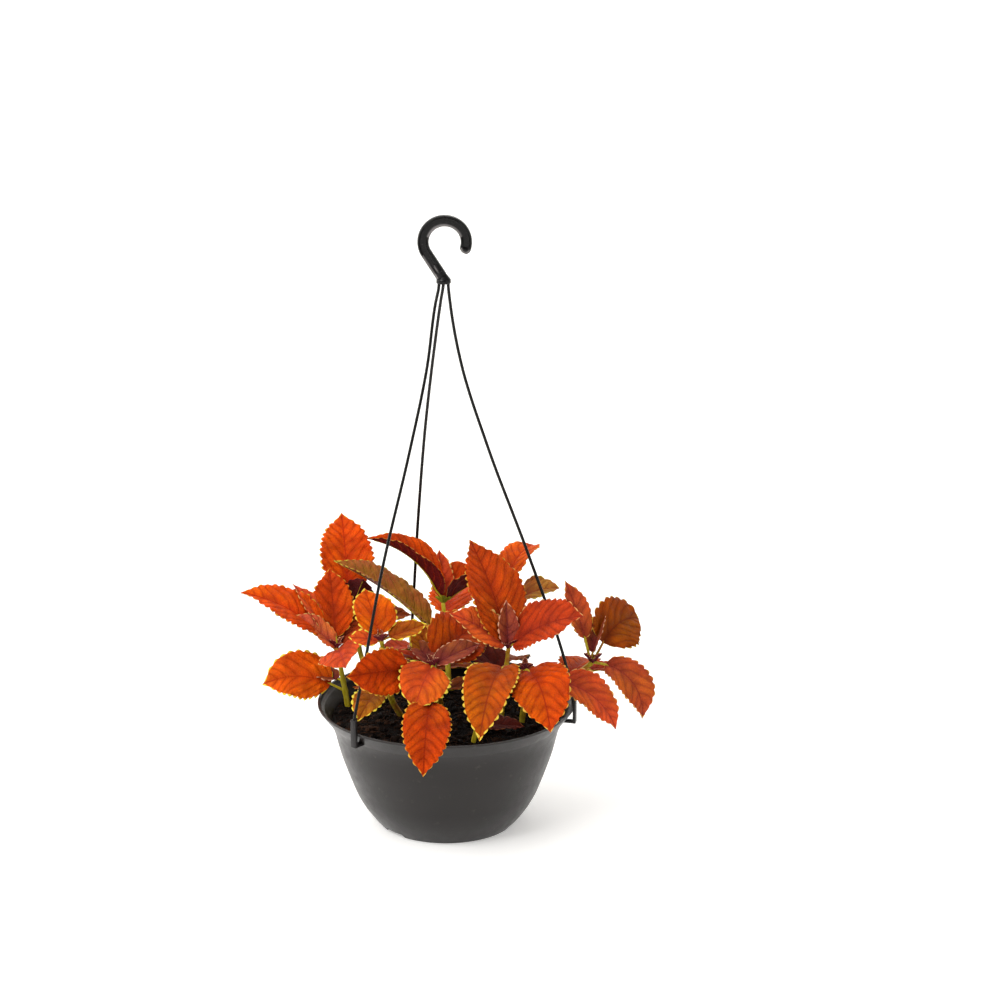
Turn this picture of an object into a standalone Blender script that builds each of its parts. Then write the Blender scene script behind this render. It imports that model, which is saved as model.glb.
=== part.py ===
"""Orange-leaved coleus in a moulded hanging pot with its three-strand hanger.

Metres, +Z up. The origin is the middle of the pot's underside, and the pot stands on Z = 0. The hook's
throat opens towards +X, and -Y is the front. Sizes below are in millimetres and angles in degrees.
"""
import math

import bmesh
import bpy
import numpy as np
from mathutils import Matrix, Vector

MM = 0.001
CLEARANCE = 0.3

# Pot: the outline of the outside runs down from the rim to the foot, as (radius, height)
OUTSIDE = [
    (125.0, 122.0), (125.0, 121.0), (114.0, 107.0), (110.0, 99.5), (107.5, 90.0), (104.0, 75.0),
    (96.0, 52.0), (88.0, 31.0), (80.5, 18.0), (73.0, 8.0), (66.0, 0.0),
]
WALL = 2.0
LEDGE = [(122.8, 122.0), (121.5, 119.0), (118.5, 117.6)]
FLARE_CORNER = 2
TURN_STEPS = 40

# Foot: three shallow notches, each with a raised patch of floor behind it, and the drain holes
NOTCH_AZIMUTHS = (101.0, 221.0, 341.0)
NOTCH_WIDTH = 27.0
NOTCH_HEIGHT = 4.5
NOTCH_RADIUS = 60.0
DRAIN_HOLES = 6
DRAIN_DIAMETER = 7.0
DRAIN_RADIUS = 38.0

# Potting soil
SOIL_EDGE_HEIGHT = 105.5
SOIL_CROWN = [(0.0, 109.0), (60.0, 108.5)]

# Hook: a round rod bent to a ring, straight down to a crown that holds the three strands side by side
HOOK_CENTRE = (0.5, 575.8)
HOOK_RADIUS = 20.2
ROD_RADIUS = 5.35
HOOK_TIP_ANGLE = -32.0
HOOK_NECK_ANGLE = 212.5
HOOK_FOOT = (-2.7, 543.3)
ARC_STEPS = 20
TIP_STEPS = 4
CROWN = [(0.0, 544.5), (2.5, 544.5), (6.9, 540.2), (6.9, 536.7), (0.0, 536.7)]
CROWN_OFFSET = -0.7
CROWN_STEPS = 16
SOCKET_DEPTH = 3.0
SOCKET_RADIUS = 1.8

# Strands: rods from the crown out to the rim. Each is its azimuth, its place (x, y) in the crown and
# its radii from the axis at STRAND_HEIGHTS. It runs from its place in the crown into the upright plane
# of its azimuth, so the shift between the two fades with a power of the height
STRAND_ROD_RADIUS = 1.5
STRAND_POINTS = 25
STRAND_BEND_HEIGHT = 531.0
STRAND_FADE = 8
STRAND_HEIGHTS = (539.3, 535.0, 520.0, 460.0, 380.0, 280.0, 180.0, 140.0, 134.0)
STRANDS = {
    "left": (227.5, (-4.9, -0.8), (4.0, 4.2, 9.5, 23.5, 49.5, 85.5, 114.0, 125.5, 127.1)),
    "right": (347.5, (3.5, -0.4), (4.0, 4.1, 5.5, 16.0, 41.5, 79.5, 114.5, 125.5, 127.1)),
    "back": (107.5, (-0.9, 3.0), (4.0, 4.3, 11.5, 37.5, 67.5, 95.0, 116.5, 125.5, 127.1)),
}

# Clips: a flat tab outside the rim and a toe that reaches in through the pot's slot
TAB_WIDTH = 6.8
TAB_THICKNESS = 3.0
TAB_INNER_RADIUS = 125.3
TAB_BOTTOM = 109.5
TAB_TOP = 137.0
TOE_WIDTH = 6.0
TOE_HEIGHT = 2.5
TOE_INNER_RADIUS = 112.8

# Stems and petioles are square in section, as they are on this plant; leaves have scalloped edges
STEM_FOOT_RADIUS = 3.2
STEM_TIP_RADIUS = 2.0
STEM_HOLE_RADIUS = 4.0
PETIOLE_RADII = (1.5, 1.2, 0.8)
BLADE_THICKNESS = 0.8
TOOTH_SPACING = 12.0
TOOTH_REACH = 0.055

# Each shoot: the corners of its stem, then its leaves. A leaf is where it leaves the stem (0 foot,
# 1 tip), azimuth, rise, petiole length, blade length, width and droop, then roll and cup if they
# aren't 0 and 12
SHOOTS = {
    "left": ([(-96, 28, 96), (-100, 26, 125), (-107, 20, 170)], [
        (1.00, 100, 58, 10, 72, 42, 15, -10),
        (0.93, 180, 50, 22, 92, 50, 42, -20, 15),
        (0.99, 188, 49, 2, 53, 27, 18, -34, 20),
        (1.00, 60, 37, 4, 42, 30, 10, 10),
        (0.97, 284, 10, 2, 40, 46, 36, 30, 10),
        (0.35, 180, 28, 16, 70, 52, 58, -46, 10),
        (0.90, 150, 58, 24, 58, 28, 20, 0, 15),
        (0.50, 150, 10, 6, 32, 24, 20, -10),
    ]),
    "back_left": ([(-70, 60, 96), (-86, 68, 145), (-96, 74, 192)], [
        (1.00, 99, 55, 18, 85, 55, 15, 6),
        (0.90, 300, 70, 8, 46, 34, 20, -40),
        (0.80, 175, 15, 10, 55, 36, 20, -10),
        (0.80, 15, 20, 10, 50, 34, 30, 10),
        (0.60, 95, 15, 12, 62, 42, 40),
    ]),
    "back": ([(2, 56, 96), (0, 60, 150), (-4, 62, 202)], [
        (0.60, 170, 45, 24, 115, 50, 24, -4, 25),
        (1.00, 190, 70, 8, 99, 42, 58, -10, 43),
        (1.00, 100, 68, 4, 48, 24, 10, 0, 15),
        (1.00, 30, 30, 4, 46, 56, 20, 0, 55),
        (0.80, 80, 25, 12, 70, 46, 40),
        (0.60, 20, 20, 12, 50, 36, 30),
    ]),
    "middle_left": ([(-38, -2, 96), (-53, -20, 130), (-60, -66, 207)], [
        (1.00, 116, 52, 6, 50, 46, 14, 6, 10),
        (0.98, 165, 12, 3, 30, 20, 20, -40, 15),
        (1.00, 24, 14, 8, 40, 26, 5, 20),
        (0.50, 246, 2, 20, 50, 32, 42, -6, 10),
        (0.55, 80, 15, 10, 46, 32, 30),
        (0.35, 150, 15, 8, 36, 26, 30),
    ]),
    "centre": ([(-4, 8, 96), (-6, -8, 125), (-12, -48, 176)], [
        (0.95, 52, 36, 10, 71, 60, 45, 36, 15),
        (1.00, 26, 22, 2, 50, 26, 14, 25, 15),
        (1.00, 126, 29, 2, 39, 21, 18, -14, 15),
        (0.90, 114, 43, 8, 48, 32, 10),
        (1.00, 250, -14, 2, 56, 50, 34, -22, 10),
        (0.80, 265, -12, 48, 82, 46, 58, -8, 10),
        (0.92, 215, 10, 30, 69, 46, 8, -75),
        (0.50, 20, 10, 10, 42, 30, 30),
    ]),
    "centre_right": ([(52, -4, 96), (56, -16, 140), (60, -30, 187)], [
        (0.97, 126, 70, 9, 106, 60, 30, -4, 15),
        (1.00, 187, 45, 4, 64, 39, 26, -43, 20),
        (1.00, 335, 45, 7, 84, 56, 35, 36),
        (1.00, 107, 82, 1, 45, 22, 5, 0, 20),
        (0.78, 255, 11, 15, 102, 53, 78, -1, 20),
        (0.60, 135, 38, 10, 46, 36, 25, -10),
        (0.55, 20, 10, 12, 50, 34, 30),
    ]),
    "right": ([(88, 26, 96), (112, 20, 130), (142, 10, 158)], [
        (0.50, 320, 15, 8, 36, 26, 40),
        (1.00, 330, 0, 14, 72, 40, 100, 22),
        (1.00, 51, 44, 22, 63, 56, 70, 52),
        (0.97, 130, 69, 25, 60, 27, 18, -6, 15),
        (0.95, 60, 60, 12, 42, 26, 20, -20, 30),
        (0.60, 70, 15, 12, 60, 40, 40),
        (0.80, 20, 5, 10, 46, 32, 50),
    ]),
    "back_right": ([(44, 66, 96), (50, 62, 150), (54, 56, 202)], [
        (1.00, 52, 68, 28, 56, 40, 90, -6),
        (0.95, 0, 33, 22, 40, 38, 38, 15),
        (0.80, 90, 30, 12, 66, 44, 40),
        (0.75, 30, 10, 12, 58, 40, 40),
        (1.00, 150, 60, 5, 40, 22, 10, 0, 15),
        (0.55, 125, 10, 10, 46, 36, 30),
        (0.35, 65, 5, 12, 52, 38, 40),
    ]),
    "back_low": ([(-20, 82, 96), (-22, 92, 138)], [
        (1.00, 60, 30, 10, 62, 42, 60),
        (1.00, 195, 25, 6, 44, 30, 30),
        (1.00, 10, 30, 4, 40, 24, 30),
        (0.60, 20, 5, 10, 50, 34, 30),
        (0.95, 230, 40, 4, 28, 18, 20),
        (0.80, 165, 22, 6, 46, 32, 50),
    ]),
    "front_small": ([(24, -74, 96), (30, -70, 122)], [
        (1.00, 10, 5, 4, 42, 28, 20, 10),
        (1.00, 90, 30, 4, 26, 16, 20),
    ]),
    "front_right": ([(72, -20, 96), (75, -28, 130), (76, -38, 168)], [
        (1.00, 287, 12, 10, 86, 59, 81, 16),
        (0.90, 352, -7, 34, 75, 43, 67, 29),
        (0.30, 5, 30, 8, 28, 20, 30, 20),
        (0.60, 80, 10, 8, 30, 22, 20),
    ]),
}
NO_ROLL = 0.0
USUAL_CUP = 12.0


# Scene and materials

def clear_scene():
    for item in list(bpy.data.objects):
        bpy.data.objects.remove(item, do_unlink=True)


def collection(name):
    made = bpy.data.collections.new(name)
    bpy.context.scene.collection.children.link(made)
    return made


def material(name, colour, roughness):
    made = bpy.data.materials.new(name)
    made.use_nodes = True
    shader = made.node_tree.nodes["Principled BSDF"]
    shader.inputs["Base Color"].default_value = (*colour, 1.0)
    shader.inputs["Roughness"].default_value = roughness
    shader.inputs["Metallic"].default_value = 0.0
    return made


def place(name, mesh, where):
    made = bpy.data.objects.new(name, mesh)
    where.objects.link(made)
    return made


def mark_cutter(item):
    item.hide_render = True
    item.display_type = "WIRE"
    return item


def finish(item, look):
    item.data.materials.clear()
    item.data.materials.append(look)
    item.data.shade_smooth()
    item.data.set_sharp_from_angle(angle=math.radians(35))


# Shapes

def turned(name, outline, steps, where):
    """A turned solid: an outline of (radius, height) run from the top down, screwed round the axis."""
    mesh = bpy.data.meshes.new(name)
    points = [(radius * MM, 0.0, height * MM) for radius, height in outline]
    mesh.from_pydata(points, [(i, i + 1) for i in range(len(points) - 1)], [])
    made = place(name, mesh, where)
    screw = made.modifiers.new("turn", "SCREW")
    screw.steps = steps
    screw.render_steps = steps
    screw.use_merge_vertices = True
    screw.merge_threshold = 0.00001
    return made


def block(name, inner, outer, width, bottom, top, azimuth, where):
    """A box from one radius to another at an azimuth, centred on that azimuth's plane."""
    shape = bmesh.new()
    bmesh.ops.create_cube(shape, size=1.0)
    size = Matrix.Diagonal(((outer - inner) * MM, width * MM, (top - bottom) * MM, 1.0))
    centre = Matrix.Translation(((outer + inner) * MM / 2, 0.0, (top + bottom) * MM / 2))
    turn = Matrix.Rotation(math.radians(azimuth), 4, "Z")
    bmesh.ops.transform(shape, matrix=turn @ centre @ size, verts=shape.verts)
    mesh = bpy.data.meshes.new(name)
    shape.to_mesh(mesh)
    shape.free()
    return place(name, mesh, where)


def cylinder(name, start, end, radius, sides, where):
    """A straight round bar between two points."""
    start = Vector(start)
    end = Vector(end)
    shape = bmesh.new()
    bmesh.ops.create_cone(
        shape, cap_ends=True, segments=sides, radius1=radius * MM, radius2=radius * MM,
        depth=(end - start).length * MM,
    )
    turn = (end - start).to_track_quat("Z", "Y").to_matrix().to_4x4()
    move = Matrix.Translation((start + end) * MM / 2)
    bmesh.ops.transform(shape, matrix=move @ turn, verts=shape.verts)
    mesh = bpy.data.meshes.new(name)
    shape.to_mesh(mesh)
    shape.free()
    return place(name, mesh, where)


def tube(name, points, radii, bevel_resolution, where):
    """A rod through points, made as a bevelled curve and then turned into one closed mesh."""
    curve = bpy.data.curves.new(name, "CURVE")
    curve.dimensions = "3D"
    curve.bevel_depth = MM
    curve.bevel_resolution = bevel_resolution
    curve.use_fill_caps = True
    spline = curve.splines.new("POLY")
    spline.points.add(len(points) - 1)
    for knot, point, radius in zip(spline.points, points, radii):
        knot.co = (*(Vector(point) * MM), 1.0)
        knot.radius = radius
    guide = place(name + "_guide", curve, where)
    depsgraph = bpy.context.evaluated_depsgraph_get()
    mesh = bpy.data.meshes.new_from_object(guide.evaluated_get(depsgraph))
    shape = bmesh.new()
    shape.from_mesh(mesh)
    bmesh.ops.remove_doubles(shape, verts=shape.verts, dist=0.000001)
    shape.to_mesh(mesh)
    shape.free()
    made = place(name, mesh, where)
    made.matrix_world = guide.matrix_world
    bpy.data.objects.remove(guide, do_unlink=True)
    return made


def boolean(item, operation, tools, solver="EXACT"):
    """Cut or join a whole collection of shapes."""
    step = item.modifiers.new(operation.lower(), "BOOLEAN")
    step.operation = operation
    step.operand_type = "COLLECTION"
    step.collection = tools
    step.solver = solver


def apply_modifiers(item):
    depsgraph = bpy.context.evaluated_depsgraph_get()
    mesh = bpy.data.meshes.new_from_object(item.evaluated_get(depsgraph))
    item.modifiers.clear()
    item.data = mesh


def fuse(item, tools, solver="EXACT"):
    """Join a collection's shapes into an object for good, and remove them."""
    boolean(item, "UNION", tools, solver)
    apply_modifiers(item)
    for piece in list(tools.objects):
        bpy.data.objects.remove(piece, do_unlink=True)
    bpy.data.collections.remove(tools)


def polar(radius, azimuth, height):
    angle = math.radians(azimuth)
    return (radius * math.cos(angle), radius * math.sin(angle), height)


# Pot and soil

def moved_in(outline, distance):
    """An outline that runs down and in to the axis, moved inwards with its sides kept parallel."""
    points = np.array([*outline, (0.0, 0.0)])
    run = np.diff(points, axis=0)
    run /= np.linalg.norm(run, axis=1)[:, None]
    normal = np.stack([run[:, 1], -run[:, 0]], axis=1)
    before = np.vstack([normal[:1], normal])
    after = np.vstack([normal, normal[-1:]])
    mitre = (before + after) / (1.0 + np.sum(before * after, axis=1))[:, None]
    return points + mitre * distance


def raised_patches(where, margin):
    """The floor stands higher over each notch, so that the notch has a wall all round."""
    for azimuth in NOTCH_AZIMUTHS:
        mark_cutter(block(
            f"patch_{azimuth:.0f}", NOTCH_RADIUS - WALL - margin, OUTSIDE[-1][0] + NOTCH_WIDTH,
            NOTCH_WIDTH + 2 * (WALL + margin), -WALL, NOTCH_HEIGHT + WALL + margin, azimuth, where,
        ))


def make_pot(part):
    outside = [(0.0, OUTSIDE[0][1]), *OUTSIDE, (0.0, 0.0)]
    pot = turned("pot", outside, TURN_STEPS, part)

    patches = collection("floor_patches")
    raised_patches(patches, 0.0)
    hollows = collection("pot_cutters")
    above = LEDGE[0][1] + WALL
    inner = [tuple(point) for point in moved_in(OUTSIDE, WALL)[FLARE_CORNER:]]
    outline = [(0.0, above), (LEDGE[0][0], above), *LEDGE, *inner]
    cavity = mark_cutter(turned("cavity", outline, TURN_STEPS, hollows))
    boolean(cavity, "DIFFERENCE", patches)

    for azimuth in NOTCH_AZIMUTHS:
        mark_cutter(block(
            f"notch_{azimuth:.0f}", NOTCH_RADIUS, OUTSIDE[-1][0] + NOTCH_WIDTH, NOTCH_WIDTH, -WALL,
            NOTCH_HEIGHT, azimuth, hollows,
        ))
    for name, (azimuth, _, _) in STRANDS.items():
        mark_cutter(block(
            f"slot_{name}", TOE_INNER_RADIUS - TAB_THICKNESS, TAB_INNER_RADIUS, TOE_WIDTH + 2 * CLEARANCE,
            TAB_BOTTOM - CLEARANCE, TAB_BOTTOM + TOE_HEIGHT + CLEARANCE, azimuth, hollows,
        ))
    for step in range(DRAIN_HOLES):
        azimuth = 360.0 * step / DRAIN_HOLES + NOTCH_AZIMUTHS[0] + 30.0
        mark_cutter(cylinder(
            f"drain_{step}", polar(DRAIN_RADIUS, azimuth, -WALL), polar(DRAIN_RADIUS, azimuth, 2 * WALL),
            DRAIN_DIAMETER / 2, 12, hollows,
        ))
    boolean(pot, "DIFFERENCE", hollows)
    apply_modifiers(pot)
    finish(pot, material("pot_plastic", (0.050, 0.046, 0.045), 0.42))


def make_soil(part):
    wall = moved_in(OUTSIDE, WALL + CLEARANCE)
    edge = np.interp(SOIL_EDGE_HEIGHT, wall[::-1, 1], wall[::-1, 0])
    below = [tuple(point) for point in wall if point[1] < SOIL_EDGE_HEIGHT]
    soil = turned("potting_soil", [*SOIL_CROWN, (edge, SOIL_EDGE_HEIGHT), *below], TURN_STEPS, part)

    hollows = collection("soil_cutters")
    raised_patches(hollows, CLEARANCE)
    for name, (stem, _) in SHOOTS.items():
        foot = Vector(stem[0])
        heading = (Vector(stem[1]) - foot).normalized()
        mark_cutter(cylinder(
            f"stem_hole_{name}", foot - heading * CLEARANCE, foot + heading * 20.0, STEM_HOLE_RADIUS, 8,
            hollows,
        ))
    boolean(soil, "DIFFERENCE", hollows)
    apply_modifiers(soil)
    finish(soil, material("potting_soil", (0.030, 0.020, 0.014), 0.95))


# Hanger

def make_hook(part):
    """The ring's arc from its rounded tip to the neck, the straight shank, and the crown at its foot."""
    def on_ring(angle):
        turn = math.radians(angle)
        return (HOOK_CENTRE[0] + HOOK_RADIUS * math.cos(turn), 0.0,
                HOOK_CENTRE[1] + HOOK_RADIUS * math.sin(turn))

    points = []
    radii = []
    start = HOOK_TIP_ANGLE + math.degrees(ROD_RADIUS / HOOK_RADIUS)
    for step in range(TIP_STEPS):
        turn = math.radians(84.0) * (1 - step / TIP_STEPS)
        points.append(on_ring(start - math.degrees(ROD_RADIUS * math.sin(turn) / HOOK_RADIUS)))
        radii.append(ROD_RADIUS * math.cos(turn))
    for step in range(ARC_STEPS):
        points.append(on_ring(start + (HOOK_NECK_ANGLE - start) * step / (ARC_STEPS - 1)))
        radii.append(ROD_RADIUS)
    points.append((HOOK_FOOT[0], 0.0, HOOK_FOOT[1]))
    radii.append(ROD_RADIUS)
    hook = tube("hanger_hook", points, radii, 3, part)

    joined = collection("hook_parts")
    crown = turned("crown", CROWN, CROWN_STEPS, joined)
    crown.location.x = CROWN_OFFSET * MM
    fuse(hook, joined)
    sockets = collection("hook_cutters")
    bottom = CROWN[-1][1]
    for name, (_, top, _) in STRANDS.items():
        mark_cutter(cylinder(
            f"socket_{name}", (*top, bottom - SOCKET_DEPTH), (*top, bottom + SOCKET_DEPTH),
            SOCKET_RADIUS, 12, sockets,
        ))
    boolean(hook, "DIFFERENCE", sockets)
    apply_modifiers(hook)
    finish(hook, material("hanger_plastic", (0.012, 0.012, 0.012), 0.35))


def smooth_radius(height, heights, radii):
    """A curve through the strand's own points, whose slope at each is that of its neighbours."""
    slopes = np.gradient(radii, heights)
    low = np.clip(np.searchsorted(heights, height, side="right") - 1, 0, len(heights) - 2)
    span = heights[low + 1] - heights[low]
    along = (height - heights[low]) / span
    return (radii[low] * (1 + 2 * along) * (1 - along) ** 2
            + slopes[low] * span * along * (1 - along) ** 2
            + radii[low + 1] * along ** 2 * (3 - 2 * along)
            - slopes[low + 1] * span * along ** 2 * (1 - along))


def make_strand(name, azimuth, top, radii, part):
    even = np.linspace(STRAND_BEND_HEIGHT, STRAND_HEIGHTS[-1], STRAND_POINTS)
    heights = np.concatenate([STRAND_HEIGHTS[:2], even])
    reach = smooth_radius(heights, np.array(STRAND_HEIGHTS[::-1]), np.array(radii[::-1]))
    shift = Vector((*top, 0.0)) - Vector(polar(radii[0], azimuth, 0.0))
    above = (heights - STRAND_HEIGHTS[-1]) / (STRAND_HEIGHTS[1] - STRAND_HEIGHTS[-1])
    held = np.clip(above, 0.0, 1.0) ** STRAND_FADE
    points = [Vector(polar(radius, azimuth, height)) + shift * share
              for radius, height, share in zip(reach, heights, held)]
    strand = tube(f"hanger_strand_{name}", points, [STRAND_ROD_RADIUS] * len(points), 1, part)

    joined = collection(f"clip_{name}")
    outer = TAB_INNER_RADIUS + TAB_THICKNESS
    block("tab", TAB_INNER_RADIUS, outer, TAB_WIDTH, TAB_BOTTOM, TAB_TOP, azimuth, joined)
    block(
        "toe", TOE_INNER_RADIUS, outer - TAB_THICKNESS / 2, TOE_WIDTH, TAB_BOTTOM,
        TAB_BOTTOM + TOE_HEIGHT, azimuth, joined,
    )
    fuse(strand, joined)
    finish(strand, material(f"strand_plastic_{name}", (0.014, 0.014, 0.014), 0.38))


# Leafy stems

def heading(azimuth, rise):
    across = math.cos(math.radians(rise))
    return Vector(polar(across, azimuth, math.sin(math.radians(rise))))


def along_stem(stem, share):
    """The point at a share of a stem's length from its foot."""
    corners = np.array(stem, dtype=float)
    lengths = np.linalg.norm(np.diff(corners, axis=0), axis=1)
    reached = np.concatenate([[0.0], np.cumsum(lengths)])
    return Vector([np.interp(share * reached[-1], reached, corners[:, axis]) for axis in range(3)])


def midrib(start, azimuth, rise, length, droop, share):
    """The midrib is an arc in the upright plane of the leaf's azimuth, turning down by the droop."""
    first = math.radians(rise)
    bend = math.radians(droop)
    last = first - bend * share
    out = length * (math.sin(first) - math.sin(last)) / bend
    up = length * (math.cos(last) - math.cos(first)) / bend
    return start + Vector(polar(out, azimuth, up))


def half_width(share):
    """An ovate outline with a drawn-out tip, 1 at its widest, two fifths of the way along."""
    widest = 0.4
    return (share / widest) ** 0.55 * ((1 - share) / (1 - widest)) ** 0.82


def make_blade(name, start, azimuth, rise, length, width, droop, roll, cup, where):
    """Two halves folded up along the midrib. Each scallop of the edge has a tip and a notch."""
    teeth = max(4, round(length / TOOTH_SPACING))
    shape = bmesh.new()

    def corner(share, reach, side):
        slope = rise - droop * share
        across = Vector(polar(1.0, azimuth + 90.0, 0.0))
        upright = heading(azimuth, slope + 90.0)
        tilt = math.radians(roll)
        out = across * math.cos(tilt) + upright * math.sin(tilt)
        face = upright * math.cos(tilt) - across * math.sin(tilt)
        fold = math.radians(cup)
        edge = out * side * math.cos(fold) + face * math.sin(fold)
        middle = midrib(start, azimuth, rise, length, droop, share)
        return shape.verts.new((middle + edge * reach * width / 2) * MM)

    ribs = [corner(step / teeth, 0.0, 1) for step in range(teeth + 1)]
    for side in (1, -1):
        notch = ribs[0]
        for tooth in range(teeth):
            peak = 0.03 + 0.93 * (tooth + 0.62) / teeth
            dip = 0.03 + 0.93 * (tooth + 1.0) / teeth
            tip = corner(peak, half_width(peak) + TOOTH_REACH, side)
            if tooth < teeth - 1:
                following = corner(dip, half_width(dip) - TOOTH_REACH, side)
            else:
                following = ribs[-1]
            corners = [(notch, ribs[tooth], tip), (ribs[tooth], ribs[tooth + 1], tip),
                       (tip, ribs[tooth + 1], following)]
            for triangle in corners:
                if len(set(triangle)) == 3:
                    shape.faces.new(triangle[::side])
            notch = following
    mesh = bpy.data.meshes.new(name)
    shape.to_mesh(mesh)
    shape.free()
    blade = place(name, mesh, where)
    wall = blade.modifiers.new("thickness", "SOLIDIFY")
    wall.thickness = BLADE_THICKNESS * MM
    wall.offset = -1.0
    return blade


def make_leaf(name, stem, leaf, where):
    share, azimuth, rise, petiole, length, width, droop, *shape = leaf
    roll, cup = (*shape, *(NO_ROLL, USUAL_CUP)[len(shape):])
    foot = along_stem(stem, share)
    ahead = heading(azimuth, rise)
    start = foot + ahead * petiole
    seat = midrib(start, azimuth, rise, length, droop, 0.08) - Vector((0.0, 0.0, PETIOLE_RADII[-1] * 0.75))
    tube(name + "_petiole", [foot - ahead, start, seat], PETIOLE_RADII, 0, where)
    make_blade(name, start, azimuth, rise, length, width, droop, roll, cup, where)


def make_shoot(name, stem, leaves, part):
    radii = np.linspace(STEM_FOOT_RADIUS, STEM_TIP_RADIUS, len(stem))
    shoot = tube(f"leafy_stem_{name}", stem, radii, 0, part)
    joined = collection(f"leaves_{name}")
    for number, leaf in enumerate(leaves):
        make_leaf(f"leaf_{number}", stem, leaf, joined)
    fuse(shoot, joined)
    finish(shoot, material(f"leaf_{name}", (0.55, 0.10, 0.02), 0.55))


def main():
    clear_scene()
    part = collection("hanging_coleus")
    make_pot(part)
    make_soil(part)
    make_hook(part)
    for name, (azimuth, top, radii) in STRANDS.items():
        make_strand(name, azimuth, top, radii, part)
    for name, (stem, leaves) in SHOOTS.items():
        make_shoot(name, stem, leaves, part)


main()
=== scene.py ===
"""Finish of an orange-leaved coleus in its hanging pot: leaves, stems, soil, pot and hanger.

Laid out as a Blender add-on and run as a script. Sizes are in millimetres and angles in degrees unless
a setting says otherwise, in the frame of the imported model: the origin is the middle of the pot's
underside, +Z is up and -Y is the front.
"""

import math
from collections import namedtuple

import bpy
import numpy as np
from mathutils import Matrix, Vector


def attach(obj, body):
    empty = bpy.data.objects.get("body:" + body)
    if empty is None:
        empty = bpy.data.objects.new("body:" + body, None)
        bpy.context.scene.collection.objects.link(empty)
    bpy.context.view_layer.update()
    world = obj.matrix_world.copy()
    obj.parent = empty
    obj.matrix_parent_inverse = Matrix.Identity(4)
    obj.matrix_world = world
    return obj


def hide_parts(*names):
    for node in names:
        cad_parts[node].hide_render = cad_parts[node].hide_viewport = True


bl_info = {
    "name": "Coleus in a hanging pot",
    "version": (1, 0, 0),
    "blender": (4, 5, 0),
    "location": "View3D > Sidebar > Coleus",
    "description": "Leaves, stems, soil, pot and hanger over the packed solids",
    "category": "Object",
}

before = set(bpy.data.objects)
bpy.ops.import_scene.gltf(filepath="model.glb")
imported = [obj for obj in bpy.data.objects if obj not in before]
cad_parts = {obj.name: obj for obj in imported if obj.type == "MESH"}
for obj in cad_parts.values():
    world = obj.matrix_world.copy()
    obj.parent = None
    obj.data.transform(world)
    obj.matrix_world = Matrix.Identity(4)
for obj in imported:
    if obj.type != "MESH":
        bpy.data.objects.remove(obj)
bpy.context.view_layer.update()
MM = 0.001
UP = np.array([0.0, 0.0, 1.0])


# Colours

def srgb(code):
    """A hex colour as linear red, green and blue, by the sRGB curve."""
    parts = np.array([int(code[at:at + 2], 16) for at in (1, 3, 5)]) / 255.0
    linear = np.where(parts <= 0.04045, parts / 12.92, ((parts + 0.055) / 1.055) ** 2.4)
    return tuple(float(part) for part in linear)


# The leaf colours of this plant, as blade, middle of the blade, scalloped edge and underside
HUES = {
    "orange": ("#E45206", "#BC3008", "#E8B03A", "#6A1A14"),
    "orange_gold": ("#E05A06", "#B43806", "#F4D648", "#6A1A14"),
    "deep_orange": ("#C84202", "#902402", "#E0A83A", "#5E1410"),
    "flame": ("#D24A04", "#9C2A08", "#E8B44A", "#5A1214"),
    "salmon": ("#F47244", "#B8463A", "#E8B868", "#6E2028"),
    "coral": ("#DA5222", "#AC3A2A", "#E8B868", "#6E2028"),
    "coral_gold": ("#DC5618", "#B43C1E", "#F6DA50", "#6E2028"),
    "brick": ("#BE4E22", "#8E3424", "#DCA454", "#5E1C20"),
    "crimson": ("#B43A10", "#862616", "#DEA060", "#5A1418"),
    "ember": ("#C24408", "#8E260C", "#D09434", "#4E1214"),
    "amber": ("#BC4E06", "#8E3210", "#F0CC4C", "#5A1E12"),
    "russet": ("#964206", "#702808", "#CEA43C", "#4A1612"),
    "russet_gold": ("#B05A08", "#8C3408", "#ECD044", "#4A1612"),
    "bronze": ("#A2522E", "#9A701C", "#C8BA3C", "#8A4A34"),
    "olive": ("#A8642E", "#864024", "#CCB83C", "#8A4A34"),
    "olive_gold": ("#B05E0E", "#8A4010", "#F0D648", "#5A2A14"),
    "lime": ("#A8A418", "#8C8A14", "#E0D048", "#8A8A20"),
    "mauve": ("#A44A30", "#762C2C", "#E2A480", "#5E2028"),
    "maroon": ("#6E261A", "#501814", "#A45E3A", "#4A1414"),
}
# How far the yellow beads on the scallops reach in, in mm, for plain and for gold-edged leaves
BEAD_DEPTHS = (2.3, 3.3)
COLOUR_PARTS = ("blade_colour", "middle_colour", "edge_colour", "under_colour")
GOLD_EDGED = ("orange_gold", "coral_gold", "russet_gold", "olive_gold", "amber")

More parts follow.
